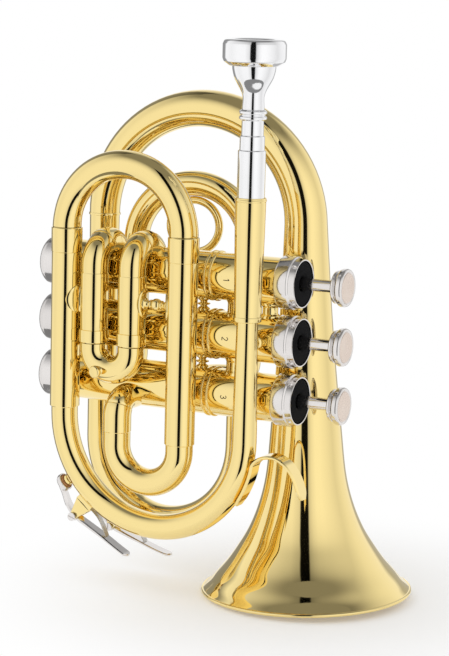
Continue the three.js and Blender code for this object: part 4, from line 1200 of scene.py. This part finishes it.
def outward(degrees):
    """The direction at this angle in the plane of the front."""
    return vec(math.cos(math.radians(degrees)), 0, math.sin(math.radians(degrees)))


class Key:
    """Where a water key sits on its bow. Angles go round the bow's centre, and turns from the pivot."""

    def __init__(self, tag, centre, bend_r, tube_r, y, pivot_angle, cup_turn, tail_turn, slot_angle):
        self.tag = tag
        self.centre = centre
        self.surface_r = bend_r + tube_r
        self.y = y
        self.pivot_angle = pivot_angle
        self.cup_turn = cup_turn
        self.tail_turn = tail_turn
        self.slot_angle = slot_angle
        self.saddle_turn = math.degrees(SADDLE_LENGTH / 2 / self.surface_r)
        self.aim = outward(pivot_angle - cup_turn)
        self.pivot = self.on(0, KEY_LIFT)

    def on(self, turn, lift):
        """The (x, z) place at a turn toward the tail, lifted from the bow's surface."""
        return polar(self.centre, self.surface_r + lift, self.pivot_angle + turn)

    def along_cup(self, lift):
        """The place in line with the cup, lifted from the bow's surface."""
        return vec(self.centre[0], self.y, self.centre[1]) + self.aim * (self.surface_r + lift)


KEY_LIFT = 8.9
SADDLE_LENGTH = 8.4
CORK_LIFT = 2.1
CORK_HEIGHT = 2
CORK_R = 3.2
LEVER_WIDTH = 4.4
BARREL_R = 2.2
LUG_INNER = 2.45
LUG_OUTER = 3.45
LUG_END_R = 1.6
LUG_STEPS = 12
SADDLE_STEPS = 8
SADDLE_LOW = -1.4
SADDLE_HIGH = 1.1
SCREW_HEAD_R = 1.9
SCREW_HEAD_HEIGHT = 0.95
SCREW_R = 0.95
SLOT_DEPTH = 0.45
SLOT_WIDTH = 0.55
SLOT_STEPS = 16
LEAF_AIM_TURN = 0.3
LEAF_FOOT_LIFT = 0.9
LEAF_THICK = 0.4
FRONT_KEY = Key("front_key", (T1_X + FRONT_LEFT_R, FRONT_BOTTOM_Z + FRONT_LEFT_R), FRONT_LEFT_R,
                FRONT_LEFT_TUBE_R, FRONT_Y, 229.7, 14.4, 28.8, -18)
REAR_KEY = Key("rear_key", (TAIL.x + REAR_LEFT_R, REAR_BOTTOM_Z + REAR_LEFT_R), REAR_LEFT_R,
               REAR_R, TAIL.y - 1, 236.7, 18, 37, 85)


def nipple(shape, key):
    profile = [(1.4, -2), (3.4, -1.2), (2.9, -0.2), (2.6, 0.6), (2.6, 2), (1.4, 2)]
    shape.turned(rounded(profile, 0.2), key.along_cup(0), key.aim, SMALL_SIDES)


def make_cork(key):
    profile = [(0, 0), (CORK_R, 0), (CORK_R, CORK_HEIGHT), (0, CORK_HEIGHT)]
    cork = Shape().turned(rounded(profile, 0.3), key.along_cup(CORK_LIFT), key.aim, TUBE_SIDES)
    piece(key.tag + "_cork", cork)


def lever_thickness(share):
    """Stout from the cup to the barrel, then thinning to the thumb piece's tip."""
    return 2.1 - 1.0 * min(1, max(0, (share - 0.35) / 0.4))


def lever_width(share):
    """Narrow at the cup, full at the barrel, and a wider thumb piece with a round tip."""
    if share < 0.3:
        return LEVER_WIDTH * (0.72 + 0.9 * share)
    wide = 1 + 0.3 * min(1, (share - 0.3) / 0.4)
    return LEVER_WIDTH * wide * math.sqrt(max(0.12, 1 - (max(0, share - 0.9) / 0.1) ** 2))


def make_lever(key):
    cup, tail = key.cup_turn, key.tail_turn
    places = [(-cup, 5.9), (-cup * 0.72, 6.5), (-cup * 0.4, 8.1), (0, KEY_LIFT), (tail * 0.25, 7.9),
              (tail * 0.5, 7.6), (tail * 0.75, 8.6), (tail * 0.92, 9.8), (tail, 10.3)]
    shape = Shape()
    ribbon(shape, flowing([key.on(*place) for place in places], 7), lever_thickness, lever_width, key.y)
    barrel = [(0, 0), (BARREL_R, 0), (BARREL_R, LEVER_WIDTH), (0, LEVER_WIDTH)]
    barrel_at = vec(key.pivot[0], key.y + LEVER_WIDTH / 2, key.pivot[1])
    shape.turned(rounded(barrel, EDGE_R), barrel_at, FORE, PIN_SIDES)
    cup = [(0, 2.1), (3.35, 2.1), (3.35, 0.7), (4.0, 0.8), (4.0, 2.5), (3.4, 3.3), (2.2, 3.7), (0, 3.8)]
    shape.turned(rounded(cup, 0.3), key.along_cup(CORK_LIFT), key.aim, TUBE_SIDES)
    piece(key.tag + "_lever", shape)


def make_saddle(key):
    turn = key.saddle_turn
    ends = spaced(-turn, turn, SADDLE_STEPS)
    angles = spaced(key.pivot_angle - QUARTER, key.pivot_angle + QUARTER, LUG_STEPS)
    head = [polar(key.pivot, LUG_END_R, angle) for angle in angles]
    lug = [key.on(-turn, 0.6), *head, key.on(turn, 0.6), key.on(0, 0.2)]
    foot = [key.on(end, SADDLE_HIGH) for end in ends] + [key.on(-end, SADDLE_LOW) for end in ends]
    shape = Shape()
    shape.plate(lug, key.y - LUG_OUTER, key.y - LUG_INNER)
    shape.plate(lug, key.y + LUG_INNER, key.y + LUG_OUTER)
    shape.plate(foot, key.y - LUG_OUTER, key.y + LUG_OUTER)
    piece(key.tag + "_saddle", shape, 0.22)


def make_screw(key):
    """A round screw with a slotted head toward the viewer."""
    head_y = key.y - LUG_OUTER - 1.2
    length = 2 * LUG_OUTER + 1.6
    profile = [(0, SLOT_DEPTH), (SCREW_HEAD_R, SLOT_DEPTH), (SCREW_HEAD_R, SCREW_HEAD_HEIGHT),
               (SCREW_R, SCREW_HEAD_HEIGHT), (SCREW_R, length), (0, length)]
    shape = Shape().turned(profile, vec(key.pivot[0], head_y, key.pivot[1]), BACK, PIN_SIDES)
    gap = math.degrees(math.asin(SLOT_WIDTH / 2 / SCREW_HEAD_R))
    for start in (key.slot_angle + gap, key.slot_angle + HALF_TURN + gap):
        angles = spaced(start, start + HALF_TURN - 2 * gap, SLOT_STEPS)
        half = [polar(key.pivot, SCREW_HEAD_R, angle) for angle in angles]
        shape.plate(half, head_y, head_y + SLOT_DEPTH + EASE)
    piece(key.tag + "_screw", shape, 0.12)


def make_leaf(key):
    """The leaf spring from the saddle's foot to the underside of the thumb piece."""
    places = [(-0.1, 0.75), (0.06, 0.95), (0.16, 1.5), (0.27, 3.1), (0.36, 5.2), (0.42, 6.8)]
    line = flowing([key.on(key.saddle_turn + key.tail_turn * turn, lift) for turn, lift in places], 5)
    shape = Shape()
    ribbon(shape, line, lambda share: LEAF_THICK, lambda share: LEVER_WIDTH - 1, key.y)
    leaf = piece(key.tag + "_spring", shape)
    aim = key.saddle_turn + key.tail_turn * LEAF_AIM_TURN
    foot = key.on(aim, LEAF_FOOT_LIFT)
    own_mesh(leaf)


def make_keys():
    for key in (FRONT_KEY, REAR_KEY):
        for make in (make_cork, make_lever, make_saddle, make_screw, make_leaf):
            make(key)


# The stage: floor, light and camera

# Fitted to the photograph by least squares.
PHOTO_HEIGHT = 656
FOCAL_PIXELS = 2273.8
CAMERA_AT = vec(409.5, -901.6, 283.5)
CAMERA_RIGHT = vec(0.891, 0.4533, 0.0252)
CAMERA_BACK = vec(0.4435, -0.881, 0.1647)
SENSOR = 36
CLIP_START = 50
CLIP_END = 50000


def make_camera():
    data = bpy.data.cameras.new("camera")
    data.sensor_width = SENSOR
    data.lens = FOCAL_PIXELS / PHOTO_HEIGHT * SENSOR
    data.clip_start = CLIP_START * MM
    data.clip_end = CLIP_END * MM
    obj = bpy.data.objects.new("camera", data)
    bpy.context.scene.collection.objects.link(obj)
    back = CAMERA_BACK.normalized()
    side = (CAMERA_RIGHT - back * CAMERA_RIGHT.dot(back)).normalized()
    rise = back.cross(side)
    turn = Matrix((side, rise, back)).transposed()
    obj.matrix_world = Matrix.Translation(CAMERA_AT * MM) @ turn.to_4x4()
    bpy.context.scene.camera = obj


WHITE = (1, 1, 1, 1)
FLOOR_R = 170
FLOOR_GAP = 0.2
FLOOR_COLOUR = (0.97, 0.97, 0.97, 1)
FLOOR_GLOW = 0.2
# The floor is shaded up to the first radius, and plain white from the second one on.
FLOOR_SHADED_R = 35
FLOOR_WHITE_R = 161.5


def make_floor():
    """A white disc that holds the object's shadow and, from the camera, runs out into the white behind."""
    centre = vec(0, 0, cad_low.z / MM - FLOOR_GAP)
    shape = Shape()
    shape.points.append(centre)
    shape.fan(0, shape.ring(centre, RIGHT, BACK, FLOOR_R, FINE_SIDES), FINE_SIDES)
    nodes = Nodes(bpy.data.materials.new("floor_white"))
    nodes.shade(Base_Color=FLOOR_COLOUR, Roughness=1.0, Specular_IOR_Level=0.0, Emission_Color=WHITE,
                Emission_Strength=FLOOR_GLOW)
    distance = nodes.add("ShaderNodeVectorMath", nodes.place(), operation="LENGTH").outputs["Value"]
    fade = nodes.ranged(distance, 0, 1, FLOOR_SHADED_R * MM, FLOOR_WHITE_R * MM, "SMOOTHSTEP")
    glow = nodes.add("ShaderNodeEmission", Color=WHITE)
    mix = nodes.add("ShaderNodeMixShader", fade, nodes.shader.outputs[0], glow.outputs[0])
    mesh_object("floor", shape, nodes.surface(mix))


# The lit wall round the object. The stops give its strength by the angle from the camera, from left to right
# in shares of a half turn: an unlit part at the camera, which gives the black line on the brass, soft boxes
# beside it, darker parts toward the back, and plain white behind the object. Above CEILING_Z it fades.
WALL_R = 3000
WALL_LOW_Z = -3000
WALL_HIGH_Z = 6000
WALL_SIDES = 128
CAMERA_AZIMUTH = math.atan2(CAMERA_BACK.y, CAMERA_BACK.x)
STUDIO = [
    (-1.0, 1.0), (-0.93, 1.0), (-0.9, 0.3), (-0.74, 0.3), (-0.68, 1.0), (-0.5, 0.93), (-0.35, 1.0),
    (-0.2, 1.0), (-0.1, 0.8), (-0.085, 0.006), (0.015, 0.006), (0.03, 0.7), (0.08, 0.93), (0.14, 1.06),
    (0.22, 1.06), (0.35, 0.96), (0.49, 0.82), (0.62, 0.95), (0.78, 1.0), (0.82, 0.5), (0.9, 0.5),
    (0.93, 1.0), (1.0, 1.0),
]
CEILING_Z = 900
CEILING_LEVEL = 0.25
# The light that the wall gives to dull surfaces.
EVEN_LEVEL = 0.85


def seen(nodes):
    """1 where the camera looks, straight or by way of metal or glass, and 0 for light on dull surfaces."""
    path = nodes.add("ShaderNodeLightPath").outputs
    result = path["Is Camera Ray"]
    for name in ("Is Glossy Ray", "Is Transmission Ray"):
        result = nodes.add("ShaderNodeMath", result, path[name], operation="MAXIMUM").outputs[0]
    return result


def make_wall():
    """The lit wall, which camera, metal and glass see alike; what is dull gets an even light from it."""
    shape = Shape()
    low, high = (shape.ring(vec(0, 0, z), RIGHT, BACK, WALL_R, WALL_SIDES) for z in (WALL_LOW_Z, WALL_HIGH_Z))
    shape.bridge(low, high, WALL_SIDES)
    nodes = Nodes(bpy.data.materials.new("studio_light"))
    turn = nodes.add("ShaderNodeMapping", Vector=nodes.place(), Rotation=(0, 0, -CAMERA_AZIMUTH))
    parts = nodes.add("ShaderNodeSeparateXYZ", turn.outputs["Vector"]).outputs
    angle = nodes.add("ShaderNodeMath", parts["Y"], parts["X"], operation="ARCTAN2").outputs[0]
    share = nodes.add("ShaderNodeMath", angle, 0.5 / math.pi, 0.5, operation="MULTIPLY_ADD").outputs[0]
    around = nodes.ramp(share, [((at + 1) / 2, (level, level, level)) for at, level in STUDIO])
    fade = nodes.ranged(parts["Z"], 1, CEILING_LEVEL, CEILING_Z * MM, WALL_HIGH_Z * MM, "SMOOTHSTEP")
    boxes = nodes.add("ShaderNodeMath", around, fade, operation="MULTIPLY").outputs[0]
    level = nodes.add("ShaderNodeMix", Factor=seen(nodes), A=EVEN_LEVEL, B=boxes).outputs["Result"]
    glow = nodes.add("ShaderNodeEmission", Color=WHITE, Strength=level)
    mesh_object("studio_wall", shape, nodes.surface(glow))


def make_world():
    world = bpy.data.worlds.new("studio")
    bpy.context.scene.world = world
    Nodes(world, "Background").shade(Color=WHITE, Strength=CEILING_LEVEL)


for make in (
        make_camera, make_floor, make_wall, make_world, make_bell, make_bell_bow, make_tail, make_rear_bow,
        make_main_tubes, make_main_crook, make_front_bow, make_leadpipe, make_receiver, make_mouthpiece,
        make_small_bow, make_inlet, make_first_slide, make_second_slide, make_third_slide, make_finger_ring,
        make_casings, make_caps, make_digits, make_valve_springs, make_buttons, make_bell_brace, make_hook,
        make_keys):
    make()

bpy.context.scene.view_settings.view_transform = "Standard"
